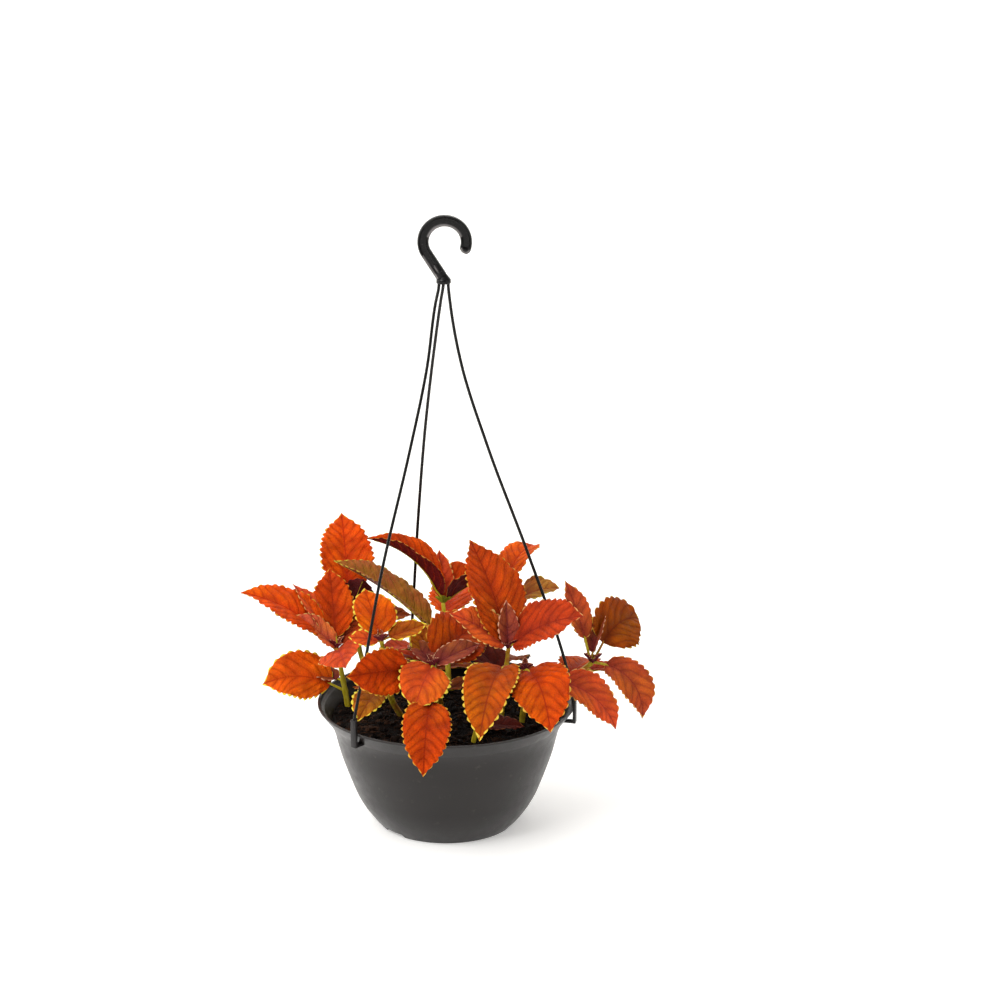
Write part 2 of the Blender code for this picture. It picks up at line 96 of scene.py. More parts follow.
# Each shoot: the corners of its stem, then its leaves. A leaf is its colour, where it leaves the stem
# (0 foot, 1 tip), azimuth, rise, petiole length, blade length, width and droop, then roll and cup
Leaf = namedtuple("Leaf", "hue share azimuth rise petiole length width droop roll cup")
SHOOTS = {
    "left": ([(-96, 28, 96), (-100, 26, 125), (-107, 20, 170)], [
        ("deep_orange", 1.00, 100, 58, 10, 72, 42, 15, -10, 12),
        ("orange", 0.93, 180, 50, 22, 92, 50, 42, -20, 15),
        ("salmon", 0.99, 188, 49, 2, 53, 27, 18, -34, 20),
        ("crimson", 1.00, 60, 37, 4, 42, 30, 10, 10, 12),
        ("coral", 0.97, 284, 10, 2, 40, 46, 36, 30, 10),
        ("orange_gold", 0.35, 180, 28, 16, 70, 52, 58, -46, 10),
        ("coral", 0.90, 150, 58, 24, 58, 28, 20, 0, 15),
        ("mauve", 0.50, 150, 10, 6, 32, 24, 20, -10, 12),
    ]),
    "back_left": ([(-70, 60, 96), (-86, 68, 145), (-96, 74, 192)], [
        ("orange", 1.00, 99, 55, 18, 85, 55, 15, 6, 12),
        ("maroon", 0.90, 300, 70, 8, 46, 34, 20, -40, 12),
        ("orange", 0.80, 175, 15, 10, 55, 36, 20, -10, 12),
        ("russet", 0.80, 15, 20, 10, 50, 34, 30, 10, 12),
        ("orange", 0.60, 95, 15, 12, 62, 42, 40, 0, 12),
    ]),
    "back": ([(2, 56, 96), (0, 60, 150), (-4, 62, 202)], [
        ("bronze", 0.60, 170, 45, 24, 115, 50, 24, -4, 25),
        ("flame", 1.00, 190, 70, 8, 99, 42, 58, -10, 43),
        ("coral", 1.00, 100, 68, 4, 48, 24, 10, 0, 15),
        ("flame", 1.00, 30, 30, 4, 46, 56, 20, 0, 55),
        ("orange", 0.80, 80, 25, 12, 70, 46, 40, 0, 12),
        ("russet", 0.60, 20, 20, 12, 50, 36, 30, 0, 12),
    ]),
    "middle_left": ([(-38, -2, 96), (-53, -20, 130), (-60, -66, 207)], [
        ("orange_gold", 1.00, 116, 52, 6, 50, 46, 14, 6, 10),
        ("coral_gold", 0.98, 165, 12, 3, 30, 20, 20, -40, 15),
        ("russet_gold", 1.00, 24, 14, 8, 40, 26, 5, 20, 12),
        ("olive_gold", 0.50, 246, 2, 20, 50, 32, 42, -6, 10),
        ("russet", 0.55, 80, 15, 10, 46, 32, 30, 0, 12),
        ("russet", 0.35, 150, 15, 8, 36, 26, 30, 0, 12),
    ]),
    "centre": ([(-4, 8, 96), (-6, -8, 125), (-12, -48, 176)], [
        ("ember", 0.95, 52, 36, 10, 71, 60, 45, 36, 15),
        ("mauve", 1.00, 26, 22, 2, 50, 26, 14, 25, 15),
        ("mauve", 1.00, 126, 29, 2, 39, 21, 18, -14, 15),
        ("russet_gold", 0.90, 114, 43, 8, 48, 32, 10, 0, 12),
        ("coral_gold", 1.00, 250, -14, 2, 56, 50, 34, -22, 10),
        ("deep_orange", 0.80, 265, -12, 48, 82, 46, 58, -8, 10),
        ("deep_orange", 0.92, 215, 10, 30, 69, 46, 8, -75, 12),
        ("russet", 0.50, 20, 10, 10, 42, 30, 30, 0, 12),
    ]),
    "centre_right": ([(52, -4, 96), (56, -16, 140), (60, -30, 187)], [
        ("ember", 0.97, 126, 70, 9, 106, 60, 30, -4, 15),
        ("coral", 1.00, 187, 45, 4, 64, 39, 26, -43, 20),
        ("crimson", 1.00, 335, 45, 7, 84, 56, 35, 36, 12),
        ("mauve", 1.00, 107, 82, 1, 45, 22, 5, 0, 20),
        ("amber", 0.78, 255, 11, 15, 102, 53, 78, -1, 20),
        ("maroon", 0.60, 135, 38, 10, 46, 36, 25, -10, 12),
        ("russet", 0.55, 20, 10, 12, 50, 34, 30, 0, 12),
    ]),
    "right": ([(88, 26, 96), (112, 20, 130), (142, 10, 158)], [
        ("russet", 0.50, 320, 15, 8, 36, 26, 40, 0, 12),
        ("brick", 1.00, 330, 0, 14, 72, 40, 100, 22, 12),
        ("russet", 1.00, 51, 44, 22, 63, 56, 70, 52, 12),
        ("brick", 0.97, 130, 69, 25, 60, 27, 18, -6, 15),
        ("mauve", 0.95, 60, 60, 12, 42, 26, 20, -20, 30),
        ("ember", 0.60, 70, 15, 12, 60, 40, 40, 0, 12),
        ("ember", 0.80, 20, 5, 10, 46, 32, 50, 0, 12),
    ]),
    "back_right": ([(44, 66, 96), (50, 62, 150), (54, 56, 202)], [
        ("flame", 1.00, 52, 68, 28, 56, 40, 90, -6, 12),
        ("olive", 0.95, 0, 33, 22, 40, 38, 38, 15, 12),
        ("ember", 0.80, 90, 30, 12, 66, 44, 40, 0, 12),
        ("ember", 0.75, 30, 10, 12, 58, 40, 40, 0, 12),
        ("orange", 1.00, 150, 60, 5, 40, 22, 10, 0, 15),
        ("orange", 0.55, 125, 10, 10, 46, 36, 30, 0, 12),
        ("russet", 0.35, 65, 5, 12, 52, 38, 40, 0, 12),
    ]),
    "back_low": ([(-20, 82, 96), (-22, 92, 138)], [
        ("orange", 1.00, 60, 30, 10, 62, 42, 60, 0, 12),
        ("coral", 1.00, 195, 25, 6, 44, 30, 30, 0, 12),
        ("coral", 1.00, 10, 30, 4, 40, 24, 30, 0, 12),
        ("russet", 0.60, 20, 5, 10, 50, 34, 30, 0, 12),
        ("mauve", 0.95, 230, 40, 4, 28, 18, 20, 0, 12),
        ("orange", 0.80, 165, 22, 6, 46, 32, 50, 0, 12),
    ]),
    "front_small": ([(24, -74, 96), (30, -70, 122)], [
        ("maroon", 1.00, 10, 5, 4, 42, 28, 20, 10, 12),
        ("russet", 1.00, 90, 30, 4, 26, 16, 20, 0, 12),
    ]),
    "front_right": ([(72, -20, 96), (75, -28, 130), (76, -38, 168)], [
        ("flame", 1.00, 287, 12, 10, 86, 59, 81, 16, 12),
        ("coral", 0.90, 352, -7, 34, 75, 43, 67, 29, 12),
        ("olive_gold", 0.30, 5, 30, 8, 28, 20, 30, 20, 12),
        ("russet", 0.60, 80, 10, 8, 30, 22, 20, 0, 12),
    ]),
}

# Leaf form
TOOTH_COLUMNS = 7
HALF_ROWS = 8
TIP_HALF_WIDTH = 0.45
TIP_TAPER = 0.5
TIP_SHARE = 0.13
VEIN_SPACING = 11.5
CHANNEL = 0.9
VEIN_LEAN = 0.52
BUD_LEAVES = 4
BUD_HUES = {"back": "lime", "back_low": "lime"}
BUD_LEAF = Leaf("mauve", 1.0, 40.0, 66.0, 0.5, 12.0, 7.0, 30.0, 0.0, 34.0)

# Stems and petioles
STEM_RADII = (3.2, 2.0)
STEM_STEPS = 44
STEM_SIDES = 20
SMOOTHING_STEPS = 7
NODE_SWELLING = 0.16
NODE_LENGTH = 3.0
PETIOLE_STEPS = 9
RIB_STEPS = 16
PETIOLE_SIDES = 10

# Pot outline, as (radius, height) from the rim down to the foot, with the width of each corner's curve
POT_OUTSIDE = [
    (125.0, 122.0, 0.5), (125.0, 121.0, 0.4), (114.6, 107.6, 0.8), (114.0, 106.6, 0.6), (110.0, 99.5, 6.0),
    (107.5, 90.0, 6.0), (104.0, 75.0, 8.0), (96.0, 52.0, 9.0), (88.0, 31.0, 8.0), (80.5, 18.0, 6.0),
    (73.0, 8.0, 4.0), (66.0, 0.0, 0.8),
]
POT_INSIDE = [
    (63.6, 2.0, 1.5), (71.6, 9.3, 4.0), (79.0, 19.2, 5.0), (86.2, 31.9, 8.0), (94.1, 52.7, 9.0),
    (102.1, 75.6, 8.0), (105.5, 90.5, 6.0), (108.1, 100.2, 5.0), (112.2, 108.2, 1.5), (118.5, 117.6, 0.8),
    (121.5, 119.0, 0.6), (122.8, 122.0, 0.5),
]
CORNER_STEPS = 5
TURN_SIDES = 180
NOTCH_AZIMUTHS = (101.0, 221.0, 341.0)
NOTCH_BLOCK = (60.0, 93.0, 27.0, -2.0, 4.5)
PATCH_BLOCK = (58.0, 93.0, 31.0, 1.0, 6.5)
DRAIN_HOLES = 6
DRAIN_PLACE = (38.0, 131.0, 3.5)
SLOT_BLOCK = (109.8, 125.3, 6.6, 109.2, 112.3)
BEVEL = 0.45
BEVEL_SEGMENTS = 2
BEVEL_ANGLE = 38.0

# Soil
SOIL_EDGE = (110.6, 105.5)
SOIL_TOP = [(0.0, 109.0), (60.0, 108.5), SOIL_EDGE]
SOIL_BED_DEPTH = 3.0
SOIL_RINGS = 90
SOIL_SIDES = 240
CRUMBS = 1700
CRUMB_SIZES = (0.9, 4.6)
CRUMB_GRID = (4, 6)
FIBRES = 420
FIBRE_LENGTHS = (7.0, 26.0)
FIBRE_POINTS = 7

# Hook, as an arc from its tip to the neck and a straight shank
HOOK_CENTRE = (0.5, 575.8)
HOOK_RADIUS = 20.2
HOOK_TIP_ANGLE = -32.0
HOOK_NECK_ANGLE = 212.5
HOOK_FOOT = (-2.7, 543.3)
HOOK_HALF_WIDTH = 5.35
HOOK_HALF_DEPTH = 4.9
HOOK_RECESS = 2.9
HOOK_FLANGE = 1.9
HOOK_SIDES = 88
# How far from the hook's centre line the painted highlight lines lie, in mm
HIGHLIGHT_INSET = 3.7
CROWN_OUTLINE = [
    (0.0, 545.8, 0.0), (2.6, 545.8, 0.8), (6.9, 540.2, 1.0), (6.9, 536.7, 0.6), (0.0, 536.7, 0.0),
]
CROWN_OFFSET = -0.7

# Strands: each is its azimuth, its place (x, y) in the crown and its radii from the axis at given heights
STRAND_RADIUS = 1.5
STRAND_FADE = 8
STRAND_HEIGHTS = (539.3, 535.0, 520.0, 460.0, 380.0, 280.0, 180.0, 140.0, 134.0)
STRANDS = {
    "left": (227.5, (-4.9, -0.8), (4.0, 4.2, 9.5, 23.5, 49.5, 85.5, 114.0, 125.5, 127.1)),
    "right": (347.5, (3.5, -0.4), (4.0, 4.1, 5.5, 16.0, 41.5, 79.5, 114.5, 125.5, 127.1)),
    "back": (107.5, (-0.9, 3.0), (4.0, 4.3, 11.5, 37.5, 67.5, 95.0, 116.5, 125.5, 127.1)),
}
STRAND_BEND = 531.0
STRAND_STEPS = 70
STRAND_SIDES = 14
TAB_BLOCK = (125.3, 128.3, 6.8, 109.5, 137.0)
TOE_BLOCK = (112.8, 126.8, 6.0, 109.5, 112.0)

# Plastics, as name, roughness, specular level and share of dried soil
Plastic = namedtuple("Plastic", "name gloss shine dust")
POT_PLASTIC = Plastic("moulded polypropylene, grey", 0.34, 0.34, 0.1)
HANGER_PLASTIC = Plastic("moulded polypropylene, black", 0.27, 0.26, 0.08)
CLIP_PLASTIC = Plastic("moulded polypropylene, dark grey", 0.34, 0.3, 0.1)
DRIED_SOIL = "#8A827A"
# Pale colour of the painted highlights on the hook's edges
PAINTED_HIGHLIGHT_COLOUR = "#787473"

# How much of the middle's colour the side veins, the net of small veins and the midrib take on
VEIN_PART = 0.42
NET_PART = 0.2
RIB_PART = 0.85

# Floor and backdrop
FLOOR_FRONT = -12000.0
FLOOR_BACK = 1600.0
FLOOR_SWEEP = 1000.0
FLOOR_TOP = 3500.0
FLOOR_HALF_WIDTH = 9000.0
FLOOR_GLOW = 0.35
BACKDROP_RADIUS = 9000.0
BACKDROP_GLOW = 1.3

# Soft lights in metres: each is its place, the height that it is aimed at and its size
LIGHTS = {
    "key": ((-1.5, -1.7, 2.3), 0.2, 1.6),
    "fill": ((1.9, -1.2, 1.2), 0.2, 1.4),
    "side": ((-2.3, 0.5, 0.9), 0.2, 1.2),
    "back": ((0.3, 1.3, 1.9), 0.3, 1.2),
}

# The side of the room that is bright, and its light from the dark side to the bright one
BRIGHT_SIDE = (-0.72, 0.35, 0.6)
ROOM_SPAN = (-0.7, 1.0)
ROOM_LIGHT = (0.13, 1.3)
ROOM_COLOUR = "#FBFAF8"

# Camera at the photograph's angle: its place and target in metres, its lens and sensor in mm
CAMERA_EYE = (0.0519, -2.872, 1.192)
CAMERA_TARGET = (0.0519, 0.0, 0.3253)
CAMERA_LENS = 113.4
SENSOR = 36.0


# Settings

def length_setting(name, description, default, lowest, highest):
    return bpy.props.FloatProperty(
        name=name, description=description, default=default, min=lowest, max=highest,
        unit="LENGTH", subtype="DISTANCE")


def colour_setting(name, description, code):
    return bpy.props.FloatVectorProperty(
        name=name, description=description, subtype="COLOR", default=srgb(code))


class LeafSettings(bpy.types.PropertyGroup):
    """Detail of the leaves."""
    tooth_spacing: length_setting(
        "Tooth spacing", "Distance between scallops along the edge", 0.0062, 0.003, 0.02)
    tooth_depth: length_setting("Tooth depth", "How deep the scallops are cut", 0.0030, 0.0, 0.005)
    pucker: length_setting("Pucker", "How far the blade stands up between two side veins", 0.0017, 0.0, 0.004)
    wave: bpy.props.FloatProperty(
        name="Wave", description="Rise and fall of the edge, as a share of the blade's width",
        default=0.035, min=0.0, max=0.15)
    thickness: length_setting("Thickness", "Thickness of the blade beside the midrib", 0.0007, 0.0003, 0.002)


class StemSettings(bpy.types.PropertyGroup):
    """Colours of the stems and petioles."""
    olive: colour_setting("Stem", "Colour of the old stem", "#B09A12")
    lime: colour_setting("Young stem", "Colour of the young stem", "#C8B63C")
    flush: colour_setting("Flush", "Red flush near the leaves", "#A8602A")


class SoilSettings(bpy.types.PropertyGroup):
    """Potting soil."""
    roughness: length_setting("Unevenness", "Height of the soil's humps", 0.0026, 0.0, 0.01)
    peat: colour_setting("Peat", "Colour of moist peat", "#120B08")
    bark: colour_setting("Bark", "Colour of bark crumbs and fibres", "#503424")


class PlasticSettings(bpy.types.PropertyGroup):
    """Moulded plastics."""
    pot: colour_setting("Pot", "Colour of the pot", "#1C1817")
    hanger: colour_setting("Hanger", "Colour of the hook and strands", "#060505")
    clip: colour_setting("Clips", "Colour of the clips on the rim", "#171414")


class StageSettings(bpy.types.PropertyGroup):
    """Floor and light."""
    floor: colour_setting("Floor", "Colour of the floor", "#F4F3F1")
    key_power: bpy.props.FloatProperty(
        name="Key light", description="Power of the main soft light", default=46.0, min=0.0, unit="POWER")
    fill_power: bpy.props.FloatProperty(
        name="Fill light", description="Power of each other light", default=8.0, min=0.0, unit="POWER")


# Meshes

def grid_faces(columns, rows, first=0):
    """Quads of a grid of points numbered column by column, facing the cross product of its directions."""
    corner = first + np.arange(columns * rows).reshape(columns, rows)[:-1, :-1].ravel()
    return np.stack([corner, corner + rows, corner + rows + 1, corner + 1], axis=1)


def shell_faces(columns, rows):
    """A closed shell: the top grid, the same grid under it turned over, and a strip round their edge."""
    count = columns * rows
    grid = np.arange(count).reshape(columns, rows)
    edge = np.concatenate([grid[:, 0], grid[-1, 1:], grid[-2::-1, -1], grid[0, -2::-1]])
    here = edge[:-1]
    following = edge[1:]
    top = grid_faces(columns, rows)
    strip = np.stack([following, here, here + count, following + count], axis=1)
    return np.concatenate([top, top[:, ::-1] + count, strip])


def ring_faces(rings, sides):
    """Quads between closed rings of points, facing out where the rings turn left about their path."""
    start = np.arange((rings - 1) * sides)
    beside = start - start % sides + (start + 1) % sides
    return np.stack([start, beside, beside + sides, start + sides], axis=1)


def end_fans(rings, sides):
    """Triangles that close the first and last of closed rings, about two points that follow the rings."""
    around = np.arange(sides)
    after = (around + 1) % sides
    count = rings * sides
    last = count - sides
    start_fan = np.stack([np.full(sides, count), after, around], axis=1)
    end_fan = np.stack([np.full(sides, count + 1), last + around, last + after], axis=1)
    return np.concatenate([start_fan, end_fan])


def circle(sides):
    """The angles of even points round a circle, and the points (cos a, sin a)."""
    angle = np.linspace(0.0, 2 * np.pi, sides, endpoint=False)
    return angle, np.stack([np.cos(angle), np.sin(angle)], axis=-1)


def distance_along(path):
    return np.concatenate([[0.0], np.cumsum(np.linalg.norm(np.diff(path, axis=0), axis=1))])


def headings(path):
    """The unit direction of a path at each of its points."""
    ahead = np.gradient(path, axis=0)
    return ahead / np.linalg.norm(ahead, axis=1)[:, None]


def smoothed(mesh, angle):
    mesh.shade_smooth()
    mesh.set_sharp_from_angle(angle=math.radians(angle))


def make_piece(name, points, quads, triangles=()):
    """A mesh object whose place is in its mesh."""
    mesh = bpy.data.meshes.new(name)
    faces = [*np.asarray(quads).tolist(), *np.asarray(triangles, dtype=int).tolist()]
    mesh.from_pydata((np.asarray(points) * MM).tolist(), [], faces)
    mesh.shade_smooth()
    piece = bpy.data.objects.new(name, mesh)
    bpy.context.scene.collection.objects.link(piece)
    return piece


def store(piece, name, kind, values):
    """Write one value for each vertex into a named attribute."""
    layer = piece.data.attributes.new(name, kind, "POINT")
    field = "color" if kind == "FLOAT_COLOR" else "vector"
    layer.data.foreach_set(field, np.ascontiguousarray(values, dtype=np.float32).ravel())


def wear(piece, looks, nodes):
    """Give a piece its materials, let it ride with the object and stand for its nodes."""
    for look in looks:
        piece.data.materials.append(look)
    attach(piece, "root")
    if nodes:
        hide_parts(*nodes)


def unit(azimuth, rise):
    """The unit vector (cos a cos r, sin a cos r, sin r) for azimuth a and rise r."""
    turn, climb = np.broadcast_arrays(np.radians(azimuth), np.radians(rise))
    return np.stack([np.cos(turn) * np.cos(climb), np.sin(turn) * np.cos(climb), np.sin(climb)], axis=-1)


def swept(points, side, up, section):
    """A closed rod: at each point of a path the section's offsets are laid along the side and up
    directions, whose cross product is the path's own, and each end is closed by a fan."""
    rings, sides = section.shape[:2]
    skin = points[:, None] + section[..., :1] * side[:, None] + section[..., 1:] * up[:, None]
    vertices = np.concatenate([skin.reshape(-1, 3), points[:1], points[-1:]])
    return vertices, ring_faces(rings, sides), end_fans(rings, sides)


def rounded(outline):
    """Each corner (x, y, width) becomes a quadratic curve that starts and ends width from the corner."""
    corners = np.array([corner[:2] for corner in outline])
    widths = np.array([corner[2] for corner in outline])[:, None]
    to_next = np.diff(corners, axis=0)
    to_next /= np.linalg.norm(to_next, axis=1)[:, None]
    before = corners - widths * np.vstack([to_next[:1], to_next])
    after = corners + widths * np.vstack([to_next, to_next[-1:]])
    share = np.linspace(0.0, 1.0, CORNER_STEPS)[None, :, None]
    curves = (before[:, None] * (1 - share) ** 2 + corners[:, None] * 2 * share * (1 - share)
              + after[:, None] * share ** 2)
    return np.concatenate([curve[:1] if width == 0 else curve for curve, width in zip(curves, widths)])


def turned(name, outline):
    """A closed turned solid: an outline of (radius, height) that starts on the axis, runs round the
    solid with its body on the left, ends on the axis, and is turned once round it."""
    angle, _ = circle(TURN_SIDES)
    ring = outline[1:-1]
    skin = np.stack(np.broadcast_arrays(
        ring[:, :1] * np.cos(angle), ring[:, :1] * np.sin(angle), ring[:, 1:]), axis=-1).reshape(-1, 3)
    ends = np.array([[0.0, 0.0, outline[0, 1]], [0.0, 0.0, outline[-1, 1]]])
    rings = len(ring)
    return make_piece(
        name, np.vstack([skin, ends]), ring_faces(rings, TURN_SIDES), end_fans(rings, TURN_SIDES))


BLOCK_FACES = ((3, 2, 1, 0), (4, 5, 6, 7), (0, 1, 5, 4), (1, 2, 6, 5), (2, 3, 7, 6), (3, 0, 4, 7))


def make_block(name, block, azimuth):
    """A box from one radius to another, of a width and between two heights, turned to an azimuth. Its
    corners are the bottom then the top, each running left about +Z."""
    inner, outer, width, bottom, top = block
    across = np.array([[inner, -1], [outer, -1], [outer, 1], [inner, 1]] * 2, dtype=float)
    heights = np.repeat([bottom, top], 4)[:, None]
    out = unit(azimuth, 0.0)
    aside = unit(azimuth + 90.0, 0.0)
    corners = across[:, :1] * out + across[:, 1:] * aside * width / 2 + heights * UP
    return make_piece(name, corners, BLOCK_FACES)


def bevelled(piece):
    """Round a piece's sharp edges and make it final."""
    step = piece.modifiers.new("edges", "BEVEL")
    step.width = BEVEL * MM
    step.segments = BEVEL_SEGMENTS
    step.limit_method = "ANGLE"
    step.angle_limit = math.radians(BEVEL_ANGLE)
    step.harden_normals = False
    make_final(piece)


def joined_or_cut(piece, operation, tools):
    """Join or cut with a group of shapes that are then removed, as one Boolean step made final."""
    group = bpy.data.collections.new("tools")
    bpy.context.scene.collection.children.link(group)
    for tool in tools:
        bpy.context.scene.collection.objects.unlink(tool)
        group.objects.link(tool)
    step = piece.modifiers.new("boolean", "BOOLEAN")
    step.operation = operation
    step.operand_type = "COLLECTION"
    step.collection = group
    step.solver = "EXACT"
    make_final(piece)
    for tool in tools:
        bpy.data.objects.remove(tool, do_unlink=True)
    bpy.data.collections.remove(group)


def make_final(piece):
    depsgraph = bpy.context.evaluated_depsgraph_get()
    mesh = bpy.data.meshes.new_from_object(piece.evaluated_get(depsgraph))
    piece.modifiers.clear()
    piece.data = mesh


def value_noise(points, size, seed):
    """Smooth noise from 0 to 1: random values on a lattice of the given size, blended between its
    points by 3t^2 - 2t^3 along each of the two directions."""
    lattice = np.random.default_rng(seed).random((256, 256))
    cell = points / size + 100.0
    low = np.floor(cell).astype(int)
    part = cell - low
    ease = part ** 2 * (3 - 2 * part)
    low %= 255
    a, b = low[..., 0], low[..., 1]
    x, y = ease[..., 0], ease[..., 1]
    return ((lattice[a, b] * (1 - x) + lattice[a + 1, b] * x) * (1 - y)
            + (lattice[a, b + 1] * (1 - x) + lattice[a + 1, b + 1] * x) * y)


# Leaves

def half_width(share):
    """The ovate outline (s/0.4)^0.55 ((1-s)/0.6)^0.82, which is 1 at its widest, two fifths along."""
    return (share / 0.4) ** 0.55 * ((1 - share) / 0.6) ** 0.82


def midrib(leaf, start, share):
    """An arc in the upright plane of the azimuth, whose slope r falls evenly from the rise r0 by the
    droop d: out = L (sin r0 - sin r) / d and up = L (cos r - cos r0) / d."""
    first = np.radians(leaf.rise)
    bend = np.radians(leaf.droop)
    last = first - bend * share
    out = leaf.length * (np.sin(first) - np.sin(last)) / bend
    climb = leaf.length * (np.cos(last) - np.cos(first)) / bend
    return start + out[..., None] * unit(leaf.azimuth, 0.0) + climb[..., None] * UP


def leaf_directions(leaf, share):
    """Across and face directions at a share of the blade: level and upright, rolled about the midrib."""
    upright = unit(leaf.azimuth, leaf.rise - leaf.droop * share + 90.0)
    level = unit(leaf.azimuth + 90.0, 0.0)
    roll = math.radians(leaf.roll)
    return (level * math.cos(roll) + upright * math.sin(roll),
            upright * math.cos(roll) - level * math.sin(roll))


def blade(leaf, start, seed, sizes):
    """The two faces of a blade over u along it and v across it.

    The edge is the ovate outline, drawn in near the tip by 1 - 0.5 exp(-((1 - u) / 0.13)^2), with
    scallops sin(pi x^1.5)^0.7 leaning to the tip. The section lifts by the cup angle and eases off to
    the edge. The blade stands up between the side veins by |sin(pi phase)|^0.6, where the phase falls
    behind u with the distance from the midrib, and the edge rises and falls in a slow wave. The
    underside is the top moved in by a thickness that is greater on the veins."""
    rng = np.random.default_rng(seed)
    teeth = max(5, round(leaf.length * MM / sizes.tooth_spacing))
    u = np.linspace(0.0, 1.0, teeth * TOOTH_COLUMNS + 1)[:, None]
    spread = np.linspace(-1.0, 1.0, 2 * HALF_ROWS + 1)[None, :]
    side = np.abs(spread) ** 0.8
    v = np.sign(spread) * side

    form = half_width(u) * (1 - TIP_TAPER * np.exp(-((1 - u) / TIP_SHARE) ** 2))
    full = np.maximum(form * leaf.width / 2, TIP_HALF_WIDTH)
    grown = np.minimum(1.0, 2.2 * full / leaf.width * 2)
    beat = (teeth * u + 0.4 * (v < 0)) % 1.0
    scallop = np.sin(np.pi * beat ** 1.5) ** 0.7 - 0.55
    depth = min(sizes.tooth_depth / MM, 0.062 * leaf.width)
    reach = full * side + depth * scallop * side ** 6 * grown
    edge = full + depth * scallop * grown

    veins = max(4, round(leaf.length / VEIN_SPACING))
    phase = veins * (u - VEIN_LEAN * leaf.width / leaf.length * side * form * (0.8 + 0.4 * side)) + 0.35
    phase = phase + 0.2 * np.sin(2 * np.pi * (1.7 * u + rng.random())) + 0.14 * side * np.sin(
        2 * np.pi * (2.6 * u + rng.random() + 0.5 * (v > 0)))
    between = np.abs(np.sin(np.pi * phase)) ** 0.6
    pucker = min(sizes.pucker / MM, 0.03 * leaf.width)
    cup = math.radians(leaf.cup)
    lift = full * math.sin(cup) * (1.35 * side - 0.35 * side ** 2.5)
    lift = lift + pucker * (between - 0.5) * np.sqrt(side * (1 - 0.8 * side ** 4)) * grown
    flat = np.stack([np.broadcast_to(u * leaf.length, reach.shape), np.sign(v) * reach], axis=-1)
    quilt = value_noise(flat, 4.6, seed) - 0.5
    lift = lift + 1.5 * pucker * quilt * np.sqrt(side) * grown - CHANNEL * np.exp(-(reach / 1.3) ** 2) * grown
    turn = 2 * np.pi * (rng.uniform(1.2, 2.0) * u + rng.random() + 0.5 * (v > 0) * rng.random())
    lift = lift + sizes.wave * leaf.width * np.sin(turn) * side ** 2.5 * np.sin(np.pi * u) ** 0.5

    out, face = leaf_directions(leaf, u[:, 0])
    sideways = np.sign(v) * reach * math.cos(cup)
    top = (midrib(leaf, start, u[:, 0])[:, None] + sideways[..., None] * out[:, None]
           + lift[..., None] * face[:, None])
    normal = np.cross(np.gradient(top, axis=0), np.gradient(top, axis=1))
    normal /= np.linalg.norm(normal, axis=-1)[..., None]
    body = sizes.thickness / MM * (0.55 + 0.45 * (1 - side) + 0.45 * (1 - between) * (1 - side))
    under = top - normal * body[..., None]

    shares = np.broadcast_to(u, reach.shape)
    place = np.stack([shares, reach, edge - reach], axis=-1).reshape(-1, 3)
    tooth = np.broadcast_to(np.clip(scallop + 0.55, 0.0, 1.0), reach.shape)
    lines = np.stack([phase, np.zeros_like(phase), tooth], axis=-1).reshape(-1, 3)
    turned_over = lines + [0.0, 1.0, 0.0]
    return {
        "points": np.concatenate([top.reshape(-1, 3), under.reshape(-1, 3)]),
        "quads": shell_faces(*reach.shape),
        "place": np.concatenate([place, place]),
        "lines": np.concatenate([lines, turned_over]),
        "hue": leaf.hue,
    }


def petiole(leaf, foot, start):
    """The stalk from inside the stem to the blade, going on under the blade as a rib that thins to
    nothing, with a channel along the stalk's upper side."""
    along = np.linspace(0.0, 1.0, PETIOLE_STEPS, endpoint=False)
    under = np.linspace(0.0, 0.93, RIB_STEPS)
    inside = foot - unit(leaf.azimuth, leaf.rise) * 1.0
    stalk = inside + (start - inside) * along[:, None]
    shares = np.concatenate([np.zeros(PETIOLE_STEPS), under])
    side, up = leaf_directions(leaf, shares)
    size = min(1.0, leaf.length / 50.0) ** 0.5
    radii = size * np.concatenate([1.5 - 0.35 * along, 0.22 + 0.93 * (1 - under) ** 2.2])
    sink = np.concatenate([np.zeros(PETIOLE_STEPS), np.minimum(1.0, under / 0.06)])
    rib = midrib(leaf, start, under)
    points = np.concatenate([stalk, rib]) - up * (sink * (CHANNEL + 0.35 + 0.8 * radii))[:, None]
    angle, ring = circle(PETIOLE_SIDES)
    channel = 1.0 - 0.22 * np.exp(-((angle - np.pi / 2) / 0.5) ** 2)
    section = radii[:, None, None] * (channel[:, None] * ring)
    return swept(points, side, up, section)


def stem_path(corners):
    """Even steps along the stem's straight runs, each moved to the mean of its neighbours."""
    corners = np.array(corners, dtype=float)
    reached = distance_along(corners)
    even = np.linspace(0.0, reached[-1], STEM_STEPS)
    path = np.stack([np.interp(even, reached, corners[:, axis]) for axis in range(3)], axis=1)
    near = np.ones(SMOOTHING_STEPS) / SMOOTHING_STEPS
    half = SMOOTHING_STEPS // 2
    smooth = np.stack([np.convolve(path[:, axis], near, "same") for axis in range(3)], axis=1)
    path[half:-half] = smooth[half:-half]
    return path, reached[-1]


